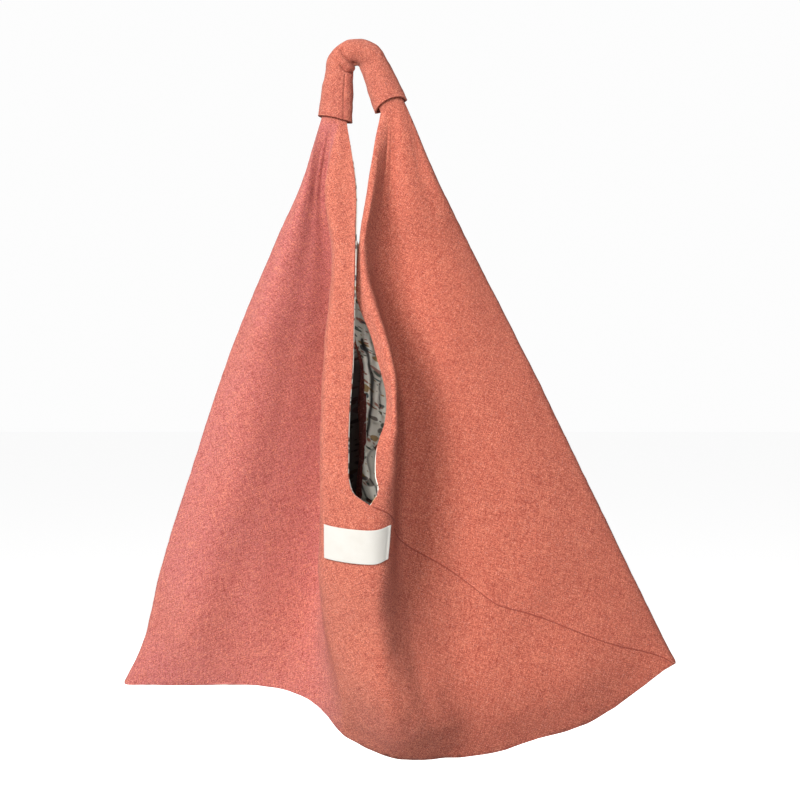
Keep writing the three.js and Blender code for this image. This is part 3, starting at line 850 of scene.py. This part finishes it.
def thicken(piece, thickness, round_by):
    solid = piece.modifiers.new("thickness", "SOLIDIFY")
    solid.thickness = thickness * MM
    solid.offset = 0
    edge = piece.modifiers.new("rim", "BEVEL")
    edge.limit_method = "ANGLE"
    edge.angle_limit = RIM_ANGLE
    edge.width = round_by * MM
    edge.segments = 2
    print(piece.name, "is", thickness, "mm thick")


thicken(outer, WALL, 0.5)
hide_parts("outer_shell")
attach(outer, "root")

# %% [markdown]
# ## Folds of the lining
# The lining is looser than the linen, and behind the mouth a few folds of it bulge into the bag.
# They could be simulated, but only a strip as wide as a finger is ever seen, so they are drawn as
# lines where the eye sees them. The creases between the folds get painted shade.

# %% Lining folds
# Folds of the lining seen through the mouth: height, half width, then points across and up.
LINING_FOLDS = [
    (30.0, 11.0, [(22, -262), (26, -300), (25, -350), (20, -395)]),
    (4.0, 2.4, [(6.5, -218), (7, -255), (6, -311), (4.6, -334)]),
    (5.0, 2.6, [(15.8, -246), (16.8, -283), (16, -330)]),
    (7.0, 2.2, [(22.5, -341), (8.4, -354), (4.6, -362), (8.4, -385), (14, -397)]),
]
# Painted shade in the creases between them: how dark, half width, then points across and up.
LINING_CREASE_SHADE = [
    (1.5, 1.3, [(4.6, -255), (10.4, -275), (12.9, -287), (13.4, -310), (11.2, -329), (8.8, -345)]),
    (1.0, 1.2, [(2, -352), (0.5, -366), (4, -388), (10, -399)]),
    (0.8, 1.1, [(21, -350), (12.5, -358), (9.5, -365), (12, -383), (17, -393)]),
    (0.9, 0.9, [(19.5, -282), (21, -300), (20, -318)]),
]
print("lining folds", len(LINING_FOLDS), "and creases", len(LINING_CREASE_SHADE))

# %% [markdown]
# ## Lining
# The lining is cut like the outside and sewn to it at the hems. So it is a copy of the outside,
# pushed inwards by its own normals, which keeps the two cloths the same distance apart. Its hems
# reach a little further, so that a pale line shows along the mouth. Behind the mouth the copy is
# finer, for the folds.

# %% Lining
LINING_DEPTH = WALL / 2 + GAP + LINING_WALL / 2
LINING_SHOWS = 0.5
# Where the lining is seen through the mouth: fold lines and heights, and cuts of each edge there.
SEEN_LINES, SEEN_HEIGHTS, SEEN_CUTS = (10.35, 10.86), (0.4, 0.68), 2
FACING_BACK = 0.3
# Looseness behind the mouth: rise, wavelength, seed, and how much is added before the wave counts.
LOOSE_FOLDS = [(1.6, 13, 9, 0.15), (0.8, 6, 7, 0)]
LOOSENESS = 2
# Along the side folds near the handle the lining lies further in: depth, lines and heights.
TIGHT, TIGHT_BESIDE, TIGHT_FROM, TIGHT_TO = 1.2, (0.5, 2), (0.8, 0.93), (0.985, 1)


def lining_mesh():
    """A copy of the outside with more points where the lining shows behind the mouth."""
    bm = bmesh.new()
    bm.from_mesh(outer.data)
    layers = bm.verts.layers.float
    marks = [(layers["line"], *SEEN_LINES), (layers["height"], *SEEN_HEIGHTS)]
    seen_part = [
        edge for edge in bm.edges
        if all(low < vert[mark] < high for vert in edge.verts for mark, low, high in marks)
    ]
    bmesh.ops.subdivide_edges(bm, edges=seen_part, cuts=SEEN_CUTS, use_grid_fill=True)
    return bm


def line_bag():
    piece = make_object("lining_cloth", lining_mesh())
    out = np.stack([get_mark(piece, name) for name in OUT_MARKS], -1)
    points, normals = get_points(piece), get_normals(piece)
    line, height, inner = (get_mark(piece, name) for name in ("line", "height", "inner"))
    back = (normals[:, 1] > FACING_BACK) & (line > EDGE)
    bulge = sum(rise * near_line(points, fold, width) for rise, width, fold in LINING_FOLDS)
    tight = ease(height, *TIGHT_FROM) * (1 - ease(height, *TIGHT_TO))
    side_fold = 1 - ease(np.abs(np.abs(line) - EDGE), *TIGHT_BESIDE)
    loose = sum(
        rise * np.maximum(wave(points, length, seed) + extra, 0)
        for rise, length, seed, extra in LOOSE_FOLDS
    )
    depth = LINING_DEPTH + (bulge + LOOSENESS * loose) * back + TIGHT * tight * side_fold
    set_points(piece, points - normals * depth[:, None] + out * LINING_SHOWS)
    # Painted shade in the creases, written on the inner mark as negative values for the lining's
    # material.
    crease_shade = sum(dark * near_line(points, fold, width) for dark, width, fold in LINING_CREASE_SHADE) * back
    piece.data.attributes["inner"].data.foreach_set("value", inner - crease_shade)
    return piece


lining = line_bag()
thicken(lining, LINING_WALL, 0.4)
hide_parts("lining")
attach(lining, "root")
print("lining moved in by", round(LINING_DEPTH, 2), "mm")

# %% [markdown]
# ## Sleeve
# The sleeve is a flattened tube of the same linen over the handle. Its right mouth is cut in an arch
# and its left one dips to the inside. Where the tube bends sharply it buckles, with two deep creases
# on the inner side, and one long seam runs up the left leg. A tube from a curve couldn't have its
# mouths shaped, so it is a grid again, laid round the handle's path and closed along one edge.

# %% Sleeve
SLEEVE_COLUMNS, SLEEVE_ROWS = 97, 111
# The mouths stay this far inside the handle's ends, dip on the left and arch on the right.
MOUTH_CLEAR, LEFT_DIP, RIGHT_ARCH, ARCH_SHAPE = 2.0, 1.9, 5.5, 1.2
# The mouths open by FLARE, over a length of FLARE_LONG.
FLARE, FLARE_LONG = 0.5, 5.0
SLEEVE_ROLL, SLEEVE_CRUMPLE = (0.9, 16, 4), (0.4, 6, 2)
MOUTH_SMOOTH = 6  # from a mouth on, the crumple sets in over this length
MOST_RISE = 2
# Creases and swellings: rise, half width, then points across and up as seen from the front.
SLEEVE_FOLDS = [
    (-4.8, 1.9, [(-14, 14), (-11, 8.5), (-6, 4), (-1.5, 0.5)]),
    (2.4, 2.6, [(-12, 3.5), (-7, -1), (-3, -3)]),
    (-3.4, 1.4, [(-15, -1), (-10, -5), (-3, -7.5)]),
    (-0.9, 0.8, [(-11.5, -9), (-12.5, -30), (-12.6, -52)]),
    (-1.0, 2.2, [(6, 9), (14, 0), (21, -22)]),
]


def sleeve_tube():
    """The tube as a grid; its height mark holds the distance to the nearer mouth."""
    turns = np.linspace(0, 2 * math.pi, SLEEVE_COLUMNS)[None, :]
    share = np.linspace(0, 1, SLEEVE_ROWS)[:, None]
    front = np.maximum(np.sin(turns), 0)
    start = MOUTH_CLEAR - LEFT_DIP * np.cos(turns)
    stop = HANDLE_LENGTH - MOUTH_CLEAR - RIGHT_ARCH * front**ARCH_SHAPE
    ways = mix(start, stop, share)
    to_mouth = np.minimum(ways - start, stop - ways)
    inset = WALL / 2 - FLARE * np.exp(-to_mouth / FLARE_LONG)
    places = handle_ring(ways, turns + 0 * ways, 0) - ring_inward(ways, turns) * inset[..., None]
    flat = np.stack([turns * SLEEVE_WIDE + 0 * ways, ways], -1)
    bm = bmesh.new()
    place_grid(bm, places[:, ::-1], flat[:, ::-1], {"height": to_mouth[:, ::-1]})
    bmesh.ops.remove_doubles(bm, verts=bm.verts[:], dist=WELD)
    return bm


def ring_inward(ways, turns):
    """How a ring point moves for each millimetre of inset, pointing outwards."""
    return handle_ring(ways, turns + 0 * ways, 0) - handle_ring(ways, turns + 0 * ways, 1)


def buckle(piece):
    points, normals = get_points(piece), get_normals(piece)
    front = ease(-normals[:, 1], -0.1, 0.4)
    folds = sum(rise * near_line(points, line, width) for rise, width, line in SLEEVE_FOLDS) * front
    crumple = swell(points, *SLEEVE_ROLL) + swell(points, *SLEEVE_CRUMPLE)
    rise = folds + crumple * ease(get_mark(piece, "height"), 0, MOUTH_SMOOTH)
    set_points(piece, points + normals * np.minimum(rise, MOST_RISE)[:, None])


sleeve = make_object("sleeve", sleeve_tube())
buckle(sleeve)
thicken(sleeve, WALL, 0.5)
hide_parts("handle_sleeve")
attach(sleeve, "root")
print("sleeve", len(sleeve.data.polygons), "faces")

# %% [markdown]
# ## Label
# A woven label is sewn on the front ridge, and it is left blank here. A flat card in front of the
# bag would miss the ridge's bend. So the strip's columns are read off the front cloth at a small
# clearance, and its right end curls up a little.

# %% Label
# Depth of its upper edge below the hang point, how tall it is, and how far its middle sags.
LABEL_TOP, LABEL_TALL, LABEL_SAG = 419.0, 29.5, 5.0
# It reaches almost to the first fold line on the left and on the right.
LABEL_FROM, LABEL_TO = -0.97, 0.9
LABEL_WALL, LABEL_LIFT = 0.8, 0.4
LABEL_CURL, CURL_LONG = 0.9, 3
# The relief of the cloth below, and the label's own unevenness: rise, wavelength and seed.
RELIEF_ROOM, LABEL_UNEVEN = 1.1, (0.15, 9, 6)
LABEL_COLUMNS, LABEL_ROWS = 45, 19
READ_HEIGHTS = np.linspace(0.15, 0.6, 91)


def front_column(way, z):
    """Middle of the front cloth along a fold line number, left negative, at heights z in mm."""
    side = "left" if way < 0 else "right"
    column = across_curve(front_chain(side, READ_HEIGHTS), np.array([abs(way) + 1]))[:, 0]
    return np.stack([np.interp(z, column[:, 2], column[:, axis]) for axis in range(3)], -1)


def label_strip():
    ways = np.linspace(LABEL_FROM, LABEL_TO, LABEL_COLUMNS)
    rows = np.linspace(0, 1, LABEL_ROWS)
    columns = []
    for way in ways:
        sag = LABEL_SAG * math.cos(math.pi / 2 * way)
        columns.append(front_column(way, -LABEL_TOP - sag - LABEL_TALL * (1 - rows)))
    places = np.stack(columns, 1)
    step = np.linalg.norm(np.diff(places, axis=1), axis=-1).mean(0)
    across = np.broadcast_to(np.concatenate([[0], np.cumsum(step)]), places.shape[:2])
    flat = np.stack([across, LABEL_TALL * rows[:, None] + 0 * across], -1)
    bm = bmesh.new()
    place_grid(bm, places, flat, {"across": across})
    return bm


label = make_object("label_tape", label_strip())
across = get_mark(label, "across")
curl = LABEL_CURL * ease(across, across.max() - CURL_LONG, across.max())
uneven = RELIEF_ROOM + swell(get_points(label), *LABEL_UNEVEN)
lift = WALL / 2 + LABEL_LIFT + LABEL_WALL / 2 + uneven + curl
set_points(label, get_points(label) + get_normals(label) * lift[:, None])
thicken(label, LABEL_WALL, 0.25)
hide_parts("label")
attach(label, "root")
print("label", round(across.max(), 1), "mm long")

# %% [markdown]
# ## Helpers for shader nodes
# A material is a tree of nodes, and in Python each node takes several lines to add, set and link.
# This small class makes each of them one line. A number and another node's output are fed to a
# socket in the same way, so a recipe reads like a formula.

# %% Node helpers


class Nodes:
    """Short ways to add and link nodes of one tree."""

    def __init__(self, tree):
        self.tree = tree

    def add(self, kind, settings=None, **inputs):
        node = self.tree.nodes.new(kind)
        for name, value in (settings or {}).items():
            setattr(node, name, value)
        for name, value in inputs.items():
            self.feed(node.inputs[name.replace("_", " ")], value)
        return node

    def feed(self, socket, value):
        if isinstance(value, bpy.types.NodeSocket):
            self.tree.links.new(value, socket)
        else:
            socket.default_value = value

    def math(self, operation, a, b=0.0, clamped=False):
        node = self.add("ShaderNodeMath", {"operation": operation, "use_clamp": clamped})
        self.feed(node.inputs[0], a)
        self.feed(node.inputs[1], b)
        return node.outputs[0]

    def vector(self, operation, a, b=(0, 0, 0), scale=1.0):
        node = self.add("ShaderNodeVectorMath", {"operation": operation})
        self.feed(node.inputs[0], a)
        self.feed(node.inputs[1], b)
        self.feed(node.inputs[3], scale)
        return node.outputs[0]

    def noise(self, vector, scale, detail=2.0, rough=0.5):
        node = self.add("ShaderNodeTexNoise", Vector=vector, Scale=scale, Detail=detail, Roughness=rough)
        return node.outputs["Fac"]

    def spread(self, value, low, high, to_low=0.0, to_high=1.0):
        """Map low to to_low and high to to_high, and hold the value past them."""
        node = self.add("ShaderNodeMapRange", Value=value)
        ends = {"From Min": low, "From Max": high, "To Min": to_low, "To Max": to_high}
        for name, number in ends.items():
            self.feed(node.inputs[name], number)
        return node.outputs["Result"]

    def blend(self, factor, a, b, way="MIX"):
        node = self.add("ShaderNodeMix", {"data_type": "RGBA", "blend_type": way})
        self.feed(node.inputs["Factor"], factor)
        self.feed(node.inputs[6], a)
        self.feed(node.inputs[7], b)
        return node.outputs[2]

    def mark(self, name):
        """A mark that was written on the mesh, or 0 where the mesh has none."""
        return self.add("ShaderNodeAttribute", {"attribute_name": name}).outputs["Fac"]

    def turn(self, vector, angle):
        node = self.add("ShaderNodeVectorRotate", {"rotation_type": "Z_AXIS"}, Vector=vector, Angle=angle)
        return node.outputs[0]

    def mix_values(self, factor, a, b):
        node = self.add("ShaderNodeMix", {"data_type": "FLOAT"}, Factor=factor)
        self.feed(node.inputs[2], a)
        self.feed(node.inputs[3], b)
        return node.outputs[0]


print("node helpers:", *[name for name in vars(Nodes) if not name.startswith("_")])

# %% [markdown]
# ## Threads
# Every cloth here is a plain weave: each thread goes over one and under the next. A picture of cloth
# would repeat and blur close by. The group makes the pattern from two cosines instead, one for each
# set of threads. The set on top gives the height, and long stretched noise gives each thread its own
# thickness and tone. It reads the flat places of the cloth, so the threads follow the folds. It is a
# node group because linen, lining and label all use it, each with its own pitch.

# %% Thread group
WANDER_SCALE = 0.22  # how quickly threads stray, per thread
STREAK, STREAK_SCALE = 0.06, 0.9  # tone changes slowly along a thread and quickly across
STREAK_TONES = (0.32, 0.68)  # noise is stretched from here to the full range of tones
OWN_TONE = 0.55  # share of tone that belongs to each crossing of threads alone
FLECK_STRETCH, FLECK_RADII, FLECK_CHANCE = (0.5, 0.75, 1.0), (0.34, 0.14), (0.3, 0.9)
GAP_HEIGHTS = (0.55, 0.15)


def new_group(name, inputs, outputs):
    tree = bpy.data.node_groups.new(name, "ShaderNodeTree")
    for way, sockets in (("INPUT", inputs), ("OUTPUT", outputs)):
        for socket_name, kind in sockets:
            tree.interface.new_socket(name=socket_name, in_out=way, socket_type="NodeSocket" + kind)
    entry = tree.nodes.new("NodeGroupInput")
    result = tree.nodes.new("NodeGroupOutput")
    return tree, Nodes(tree), entry.outputs, result.inputs


def make_thread_group():
    tree, n, given, gives = new_group(
        "woven_threads",
        [("Flat", "Vector"), ("Pitch", "Float"), ("Turn", "Float"), ("Unevenness", "Float")],
        [("Height", "Float"), ("Tone", "Float"), ("Fleck", "Float"), ("Gap", "Float")],
    )
    turned = n.turn(given["Flat"], given["Turn"])
    scaled = n.vector("SCALE", turned, scale=n.math("DIVIDE", 1.0, given["Pitch"]))
    wander = n.add("ShaderNodeTexNoise", Vector=scaled, Scale=WANDER_SCALE, Detail=2.0)
    shift = n.vector("SUBTRACT", wander.outputs["Color"], (0.5, 0.5, 0.5))
    moved = n.vector("ADD", scaled, n.vector("SCALE", shift, scale=given["Unevenness"]))
    split = n.add("ShaderNodeSeparateXYZ", Vector=moved)
    wave_x = n.math("COSINE", n.math("MULTIPLY", split.outputs["X"], math.pi))
    wave_y = n.math("COSINE", n.math("MULTIPLY", split.outputs["Y"], math.pi))
    parity = n.math("MULTIPLY", wave_x, wave_y)
    warp_up = n.math("MULTIPLY_ADD", parity, 0.5)
    warp_up.node.inputs[2].default_value = 0.5
    warp = n.math("MULTIPLY", n.math("ABSOLUTE", wave_x), warp_up)
    weft = n.math("MULTIPLY", n.math("ABSOLUTE", wave_y), n.math("SUBTRACT", 1.0, warp_up))
    height = n.math("MAXIMUM", warp, weft)
    warp_tone = n.noise(n.vector("MULTIPLY", moved, (1.0, STREAK, 1.0)), STREAK_SCALE)
    weft_tone = n.noise(n.vector("MULTIPLY", moved, (STREAK, 1.0, 1.0)), STREAK_SCALE)
    streak = n.mix_values(n.math("GREATER_THAN", warp, weft), weft_tone, warp_tone)
    crossing = n.vector("FLOOR", n.vector("ADD", moved, (0.5, 0.5, 0.5)))
    own_tone = n.add("ShaderNodeTexWhiteNoise", Vector=crossing).outputs["Value"]
    stretched = n.vector("MULTIPLY", moved, FLECK_STRETCH)
    specks = n.add("ShaderNodeTexVoronoi", {"feature": "F1"}, Vector=stretched, Scale=1.0)
    chance = n.add("ShaderNodeSeparateColor", Color=specks.outputs["Color"]).outputs["Red"]
    near = n.spread(specks.outputs["Distance"], *FLECK_RADII)
    n.feed(gives["Height"], height)
    n.feed(gives["Tone"], n.mix_values(OWN_TONE, n.spread(streak, *STREAK_TONES), own_tone))
    n.feed(gives["Fleck"], n.math("MULTIPLY", near, n.spread(chance, *FLECK_CHANCE)))
    n.feed(gives["Gap"], n.spread(height, *GAP_HEIGHTS))
    return tree


thread_group = make_thread_group()
print("thread group with", len(thread_group.nodes), "nodes")

# %% [markdown]
# ## From threads to a material
# All cloths are finished alike: the threads give colour and bump, and low threads are rougher than
# high ones, which are polished by wear. Only the values differ, so the steps that the three
# materials share are functions.

# %% Cloth materials


def cloth_material(name):
    material = bpy.data.materials.new(name)
    material.use_nodes = True
    shader = material.node_tree.nodes["Principled BSDF"]
    return material, Nodes(material.node_tree), shader


def weave(n, pitch, turn, unevenness):
    """Flat places of the cloth and the outputs of the thread group there; pitch is in mm."""
    place = n.add("ShaderNodeUVMap", {"uv_map": "UVMap"})
    threads = n.add("ShaderNodeGroup", {"node_tree": thread_group})
    n.feed(threads.inputs["Flat"], place.outputs["UV"])
    for socket, value in (("Pitch", pitch * MM), ("Turn", turn), ("Unevenness", unevenness)):
        threads.inputs[socket].default_value = value
    return place.outputs["UV"], threads.outputs


def finish_cloth(n, shader, colour, thread, rough, bump, settings):
    """Feed the shader; rough is for low and high threads, bump is (height, strength, mm deep)."""
    height, strength, deep = bump
    n.feed(shader.inputs["Base Color"], colour)
    n.feed(shader.inputs["Roughness"], n.spread(thread["Height"], 0, 1, *rough))
    raised = n.add("ShaderNodeBump", Height=height, Strength=strength, Distance=deep * MM)
    n.feed(shader.inputs["Normal"], raised.outputs["Normal"])
    for name, value in settings.items():
        shader.inputs[name].default_value = value


def tinted(base, factors):
    """A colour times three factors, with the fourth number that Blender wants."""
    return tuple(min(1.0, c * k) for c, k in zip(base, factors)) + (1,)


print("a tinted colour:", tinted((0.5, 0.5, 0.5), (1, 0.5, 3)))

# %% [markdown]
# ## Coral linen
# The linen is coral with paler slubs and a few light flecks, and dark where threads leave a gap. One
# even colour would make the large panels look like plastic. So the tone changes from thread to
# thread and soft blotches lie over it. The hue goes slowly from pinkish on the left to brownish on
# the right, as the marks on the mesh say; the pinkish tint is painted light, the cooler light on the
# left panel. A little sheen gives the fuzz of the fibres.

# %% Linen colours
THREAD, THREAD_WANDER = 0.9, 1.1
CORAL = (0.715, 0.217, 0.141)
# The coral times these gives bright threads, the shade between threads, and the two hues. The
# pinkish hue is painted light, the cooler light on the left panel.
PALE, DEEP = (1.35, 1.7, 1.65), (0.42, 0.25, 0.27)
PAINTED_LIGHT_PINK, BROWN = (0.94, 0.98, 1.52), (0.96, 0.85, 0.82)
# The second colour below is painted shade for the rolled hem, which is seen deep in the mouth.
FLECK, ROLLED_HEM_SHADE_COLOUR = (0.9, 0.55, 0.47, 1), (0.075, 0.018, 0.028, 1)
BLOTCHES, BLOTCH_SHARE, GAP_SHARE, FLECK_SHARE = 600.0, 0.35, 0.95, 0.4
FUZZ, FUZZ_SHARE = 500.0, 0.6
LINEN_SHADER = {
    "Sheen Weight": 0.1, "Sheen Roughness": 0.45, "Sheen Tint": (1.0, 0.82, 0.76, 1),
    "Specular IOR Level": 0.2,
}


def linen_hue(n, base):
    """The base colour, pinkish or brownish as the hue mark says, with a slow change of its own; the
    pinkish tint is painted light.
    """
    where = n.add("ShaderNodeTexCoord").outputs["Object"]
    slow = n.spread(n.noise(where, 9.0, 3.0), 0.35, 0.65, -0.2, 0.3)
    hue = n.math("ADD", n.mark("hue"), slow)
    colour = n.blend(n.spread(hue, 0.1, 1.3), (*base, 1), tinted(base, PAINTED_LIGHT_PINK))
    return n.blend(n.spread(hue, 0.1, -1.0), colour, tinted(base, BROWN))


def linen_threads(n, colour, base, flat, thread):
    pale, deep = tinted(base, PALE), tinted(base, DEEP)
    colour = n.blend(n.spread(thread["Tone"], 0.5, 0.95), colour, pale)
    colour = n.blend(n.spread(thread["Tone"], 0.5, 0.05), colour, deep)
    blotch = n.spread(n.noise(flat, BLOTCHES, 3.0, 0.6), 0.38, 0.66)
    colour = n.blend(n.math("MULTIPLY", blotch, BLOTCH_SHARE), colour, deep)
    return n.blend(n.math("MULTIPLY", thread["Gap"], GAP_SHARE), colour, deep)


def sewn_marks(n, colour, base):
    """A dark line along the seams, and painted shade on the rolled hem, deep in the mouth."""
    distance = n.math("ABSOLUTE", n.mark("seam"))
    colour = n.blend(n.spread(distance, 1.1, 0.45, 0.0, 0.9), colour, tinted(base, DEEP))
    # Painted shade on the outside of the rolled hem, where little light reaches deep in the mouth.
    return n.blend(n.spread(n.mark("inner"), 0, 1, 0.0, 0.75), colour, ROLLED_HEM_SHADE_COLOUR)


print("coral", CORAL)

# %% [markdown]
# ## Linen on the bag and the sleeve
# Both pieces are cut from one cloth, but they hang at different angles to its threads. So one
# function makes both materials, and the turn of the weave is all that differs, besides the seam.

# %% Linen material


def linen(name, base, turn, seam=False):
    material, n, shader = cloth_material(name)
    flat, thread = weave(n, THREAD, turn, THREAD_WANDER)
    colour = linen_threads(n, linen_hue(n, base), base, flat, thread)
    if seam:
        colour = sewn_marks(n, colour, base)
    colour = n.blend(n.math("MULTIPLY", thread["Fleck"], FLECK_SHARE), colour, FLECK)
    fuzz = n.math("MULTIPLY", n.noise(flat, FUZZ, 3.0), FUZZ_SHARE)
    raised = n.math("ADD", thread["Height"], fuzz)
    finish_cloth(n, shader, colour, thread, (0.95, 0.78), (raised, 0.9, 0.7), LINEN_SHADER)
    return material


outer.data.materials.append(linen("coral_linen", CORAL, math.radians(24), seam=True))
sleeve.data.materials.append(linen("sleeve_linen", CORAL, math.radians(45)))
print("coral linen made")

# %% [markdown]
# ## Printed lining
# The lining is a smooth cream cotton with a small scattered print of leaves and dots. A drawn print
# would need a picture. Here it is made of cells: each cell holds one mark near its middle, with a
# size and colour of its own, and stretched cells make leaves where even ones make dots. Painted
# shade darkens the creases between the folds behind the mouth, and the lining of the left half near
# its back hem, deep inside the bag.

# %% Lining material
LINING_THREAD, LINING_WANDER = 0.45, 0.6
# The third colour is painted shade for the creases and for the lining deep inside the left half.
CREAM, CREAM_GAP, LINING_SHADE_COLOUR = (0.88, 0.86, 0.79, 1), (0.6, 0.56, 0.47, 1), (0.02, 0.017, 0.02, 1)
LINING_SHADER = {"Specular IOR Level": 0.25}
# Layers of marks: cell in mm, stretch, turn and size.
PRINT_LAYERS = [(7.5, 1.7, 0.6, 0.48), (6.0, 1.6, -0.9, 0.46), (4.2, 1.0, 0.2, 0.33)]
MARK_SHARP, PRINT_SHARE = 14.0, 0.88
# Where each colour starts, as a share of the random numbers, and the colour.
PRINT_COLOURS = [
    (0.0, (0.035, 0.06, 0.045, 1)), (0.24, (0.33, 0.09, 0.05, 1)), (0.45, (0.05, 0.08, 0.1, 1)),
    (0.6, (0.45, 0.2, 0.17, 1)), (0.78, (0.42, 0.25, 0.08, 1)), (0.9, (0.12, 0.09, 0.08, 1)),
]


def marks_layer(n, flat, cell, stretch, turn, size):
    """Scattered marks: how much print lies here, and a random number for its colour."""
    shaped = n.vector("MULTIPLY", n.turn(flat, turn), (1 / cell / stretch, 1 / cell, 1.0))
    cells = n.add("ShaderNodeTexVoronoi", {"feature": "F1"}, Vector=shaped, Scale=1.0, Randomness=0.8)
    chance = n.add("ShaderNodeSeparateColor", Color=cells.outputs["Color"])
    radius = n.spread(chance.outputs["Green"], 0, 1, size * 0.6, size)
    inside = n.math("SUBTRACT", radius, cells.outputs["Distance"])
    return n.math("MULTIPLY", inside, MARK_SHARP, clamped=True), chance.outputs["Red"]


def print_colour(n, pick):
    ramp = n.add("ShaderNodeValToRGB", Fac=pick)
    ramp.color_ramp.interpolation = "CONSTANT"
    stops = ramp.color_ramp.elements
    for i, (start, tint) in enumerate(PRINT_COLOURS):
        stop = stops[i] if i < 2 else stops.new(start)
        stop.position = start
        stop.color = tint
    return ramp.outputs["Color"]


def lining_print(name):
    material, n, shader = cloth_material(name)
    flat, thread = weave(n, LINING_THREAD, 0.0, LINING_WANDER)
    colour = n.blend(n.math("MULTIPLY", thread["Gap"], 0.35), CREAM, CREAM_GAP)
    for cell, stretch, turn, size in PRINT_LAYERS:
        mask, pick = marks_layer(n, flat, cell * MM, stretch, turn, size)
        colour = n.blend(n.math("MULTIPLY", mask, PRINT_SHARE), colour, print_colour(n, pick))
    # Painted shade: the creases, and the lining deep inside the left half, where little light reaches.
    colour = n.blend(n.spread(n.mark("inner"), 0, -1, 0.0, 0.94), colour, LINING_SHADE_COLOUR)
    bump = (thread["Height"], 0.35, 0.15)
    finish_cloth(n, shader, colour, thread, (0.9, 0.75), bump, LINING_SHADER)
    return material


lining.data.materials.append(lining_print("printed_cotton"))
print("print colours", len(PRINT_COLOURS))

# %% [markdown]
# ## Label tape
# The tape is off-white and densely woven. Its threads are half a millimetre apart and lie straight,
# and a soft change of tone keeps the blank cloth from looking like card.

# %% Label material
TAPE_THREAD, TAPE_WANDER = 0.5, 0.3
TAPE, TAPE_SHADE, TAPE_GAP = (0.54, 0.535, 0.505, 1), (0.5, 0.49, 0.455, 1), (0.45, 0.42, 0.37, 1)


def tape(name):
    material, n, shader = cloth_material(name)
    flat, thread = weave(n, TAPE_THREAD, 0.0, TAPE_WANDER)
    soft = n.spread(n.noise(flat, 70.0, 3.0), 0.3, 0.7)
    colour = n.blend(soft, TAPE, TAPE_SHADE)
    colour = n.blend(n.math("MULTIPLY", thread["Gap"], 0.5), colour, TAPE_GAP)
    bump = (thread["Height"], 0.5, 0.2)
    finish_cloth(n, shader, colour, thread, (0.85, 0.65), bump, {"Sheen Weight": 0.1})
    return material


label.data.materials.append(tape("label_tape"))
print("label tape made")

# %% [markdown]
# ## Floor
# The bag hangs in a white studio, well above a plain floor. The floor glows a little by itself, to
# be as white as the sky behind it, and it neither lights nor shades the bag, which is also lit from
# below.

# %% Floor
FLOOR, FLOOR_SIZE, FLOOR_GLOW = -1.05, 30.0, 0.78
floor_mesh = bmesh.new()
bmesh.ops.create_grid(floor_mesh, x_segments=1, y_segments=1, size=FLOOR_SIZE)
bmesh.ops.translate(floor_mesh, vec=(0, 0, FLOOR), verts=floor_mesh.verts[:])
floor = make_object("floor", floor_mesh)
floor_paint, _, floor_shader = cloth_material("floor_paint")
floor_shader.inputs["Base Color"].default_value = (0.93, 0.93, 0.93, 1)
floor_shader.inputs["Roughness"].default_value = 0.8
floor_shader.inputs["Emission Color"].default_value = (1, 1, 1, 1)
floor_shader.inputs["Emission Strength"].default_value = FLOOR_GLOW
floor.data.materials.append(floor_paint)
floor.visible_diffuse = False
floor.visible_glossy = False
floor.visible_shadow = False
print("floor", -FLOOR, "m below the hang point")

# %% [markdown]
# ## A sky with two strengths
# A Light Path node tells whether a ray comes straight from the camera. That ray sees a white sky, and
# every other ray meets the low one. A white card behind the bag would do the same, but it would have
# to be moved for each view.

# %% Sky
AMBIENT, SKY_SEEN = 0.19, 0.98
world = bpy.data.worlds.new("studio")
world.use_nodes = True
sky = world.node_tree
background = sky.nodes["Background"]
background.inputs["Color"].default_value = (1, 1, 1, 1)
path = sky.nodes.new("ShaderNodeLightPath")
level = sky.nodes.new("ShaderNodeMapRange")
level.inputs["To Min"].default_value = AMBIENT
level.inputs["To Max"].default_value = SKY_SEEN
sky.links.new(path.outputs["Is Camera Ray"], level.inputs["Value"])
sky.links.new(level.outputs["Result"], background.inputs["Strength"])
bpy.context.scene.world = world
print("sky lights with", AMBIENT)

# %% [markdown]
# ## Light
# In the photograph light comes from the upper left, so the valley right of the ridge is dark. One
# large soft key does most of that. A small second light from the right and one near the camera fill
# the folds, a low one brightens the bottom, and one behind shows the back in other views. All are
# discs, because a disc gives shadows with an even soft edge.

# %% Lights


def soft_light(name, place, aim, size, power, colour):
    data = bpy.data.lights.new(name, "AREA")
    data.shape = "DISK"
    data.size = size
    data.energy = power
    data.color = colour
    lamp = bpy.data.objects.new(name, data)
    lamp.location = place
    lamp.rotation_euler = (Vector(aim) - Vector(place)).to_track_quat("-Z", "Y").to_euler()
    bpy.context.scene.collection.objects.link(lamp)


# Name, place in metres, size in metres, power in watts, colour.
LIGHTS = [
    ("key", (-1.4, -1.9, 0.75), 1.1, 104, (1.0, 0.98, 0.96)),
    ("second", (1.5, -1.8, 0.35), 0.5, 9, (1.0, 0.98, 0.97)),
    ("front", (-0.22, -2.3, 0.7), 0.2, 19, (1.0, 0.98, 0.97)),
    ("low", (0.1, -1.9, -1.7), 1.2, 16, (1.0, 0.97, 0.98)),
    ("back", (-0.6, 2.3, 0.7), 1.0, 45, (1.0, 0.99, 0.98)),
]
BAG_MIDDLE = (0.03, 0, -0.38)
for name, place, size, power, colour in LIGHTS:
    soft_light(name, place, BAG_MIDDLE, size, power, colour)
print("lights", *[light[0] for light in LIGHTS])

# %% [markdown]
# ## Colours as they are
# The Standard view shows colours as the materials give them. Blender's usual view would make the
# coral greyer and the white background grey.

# %% View
bpy.context.scene.view_settings.view_transform = "Standard"
print("view", bpy.context.scene.view_settings.view_transform)

# %% [markdown]
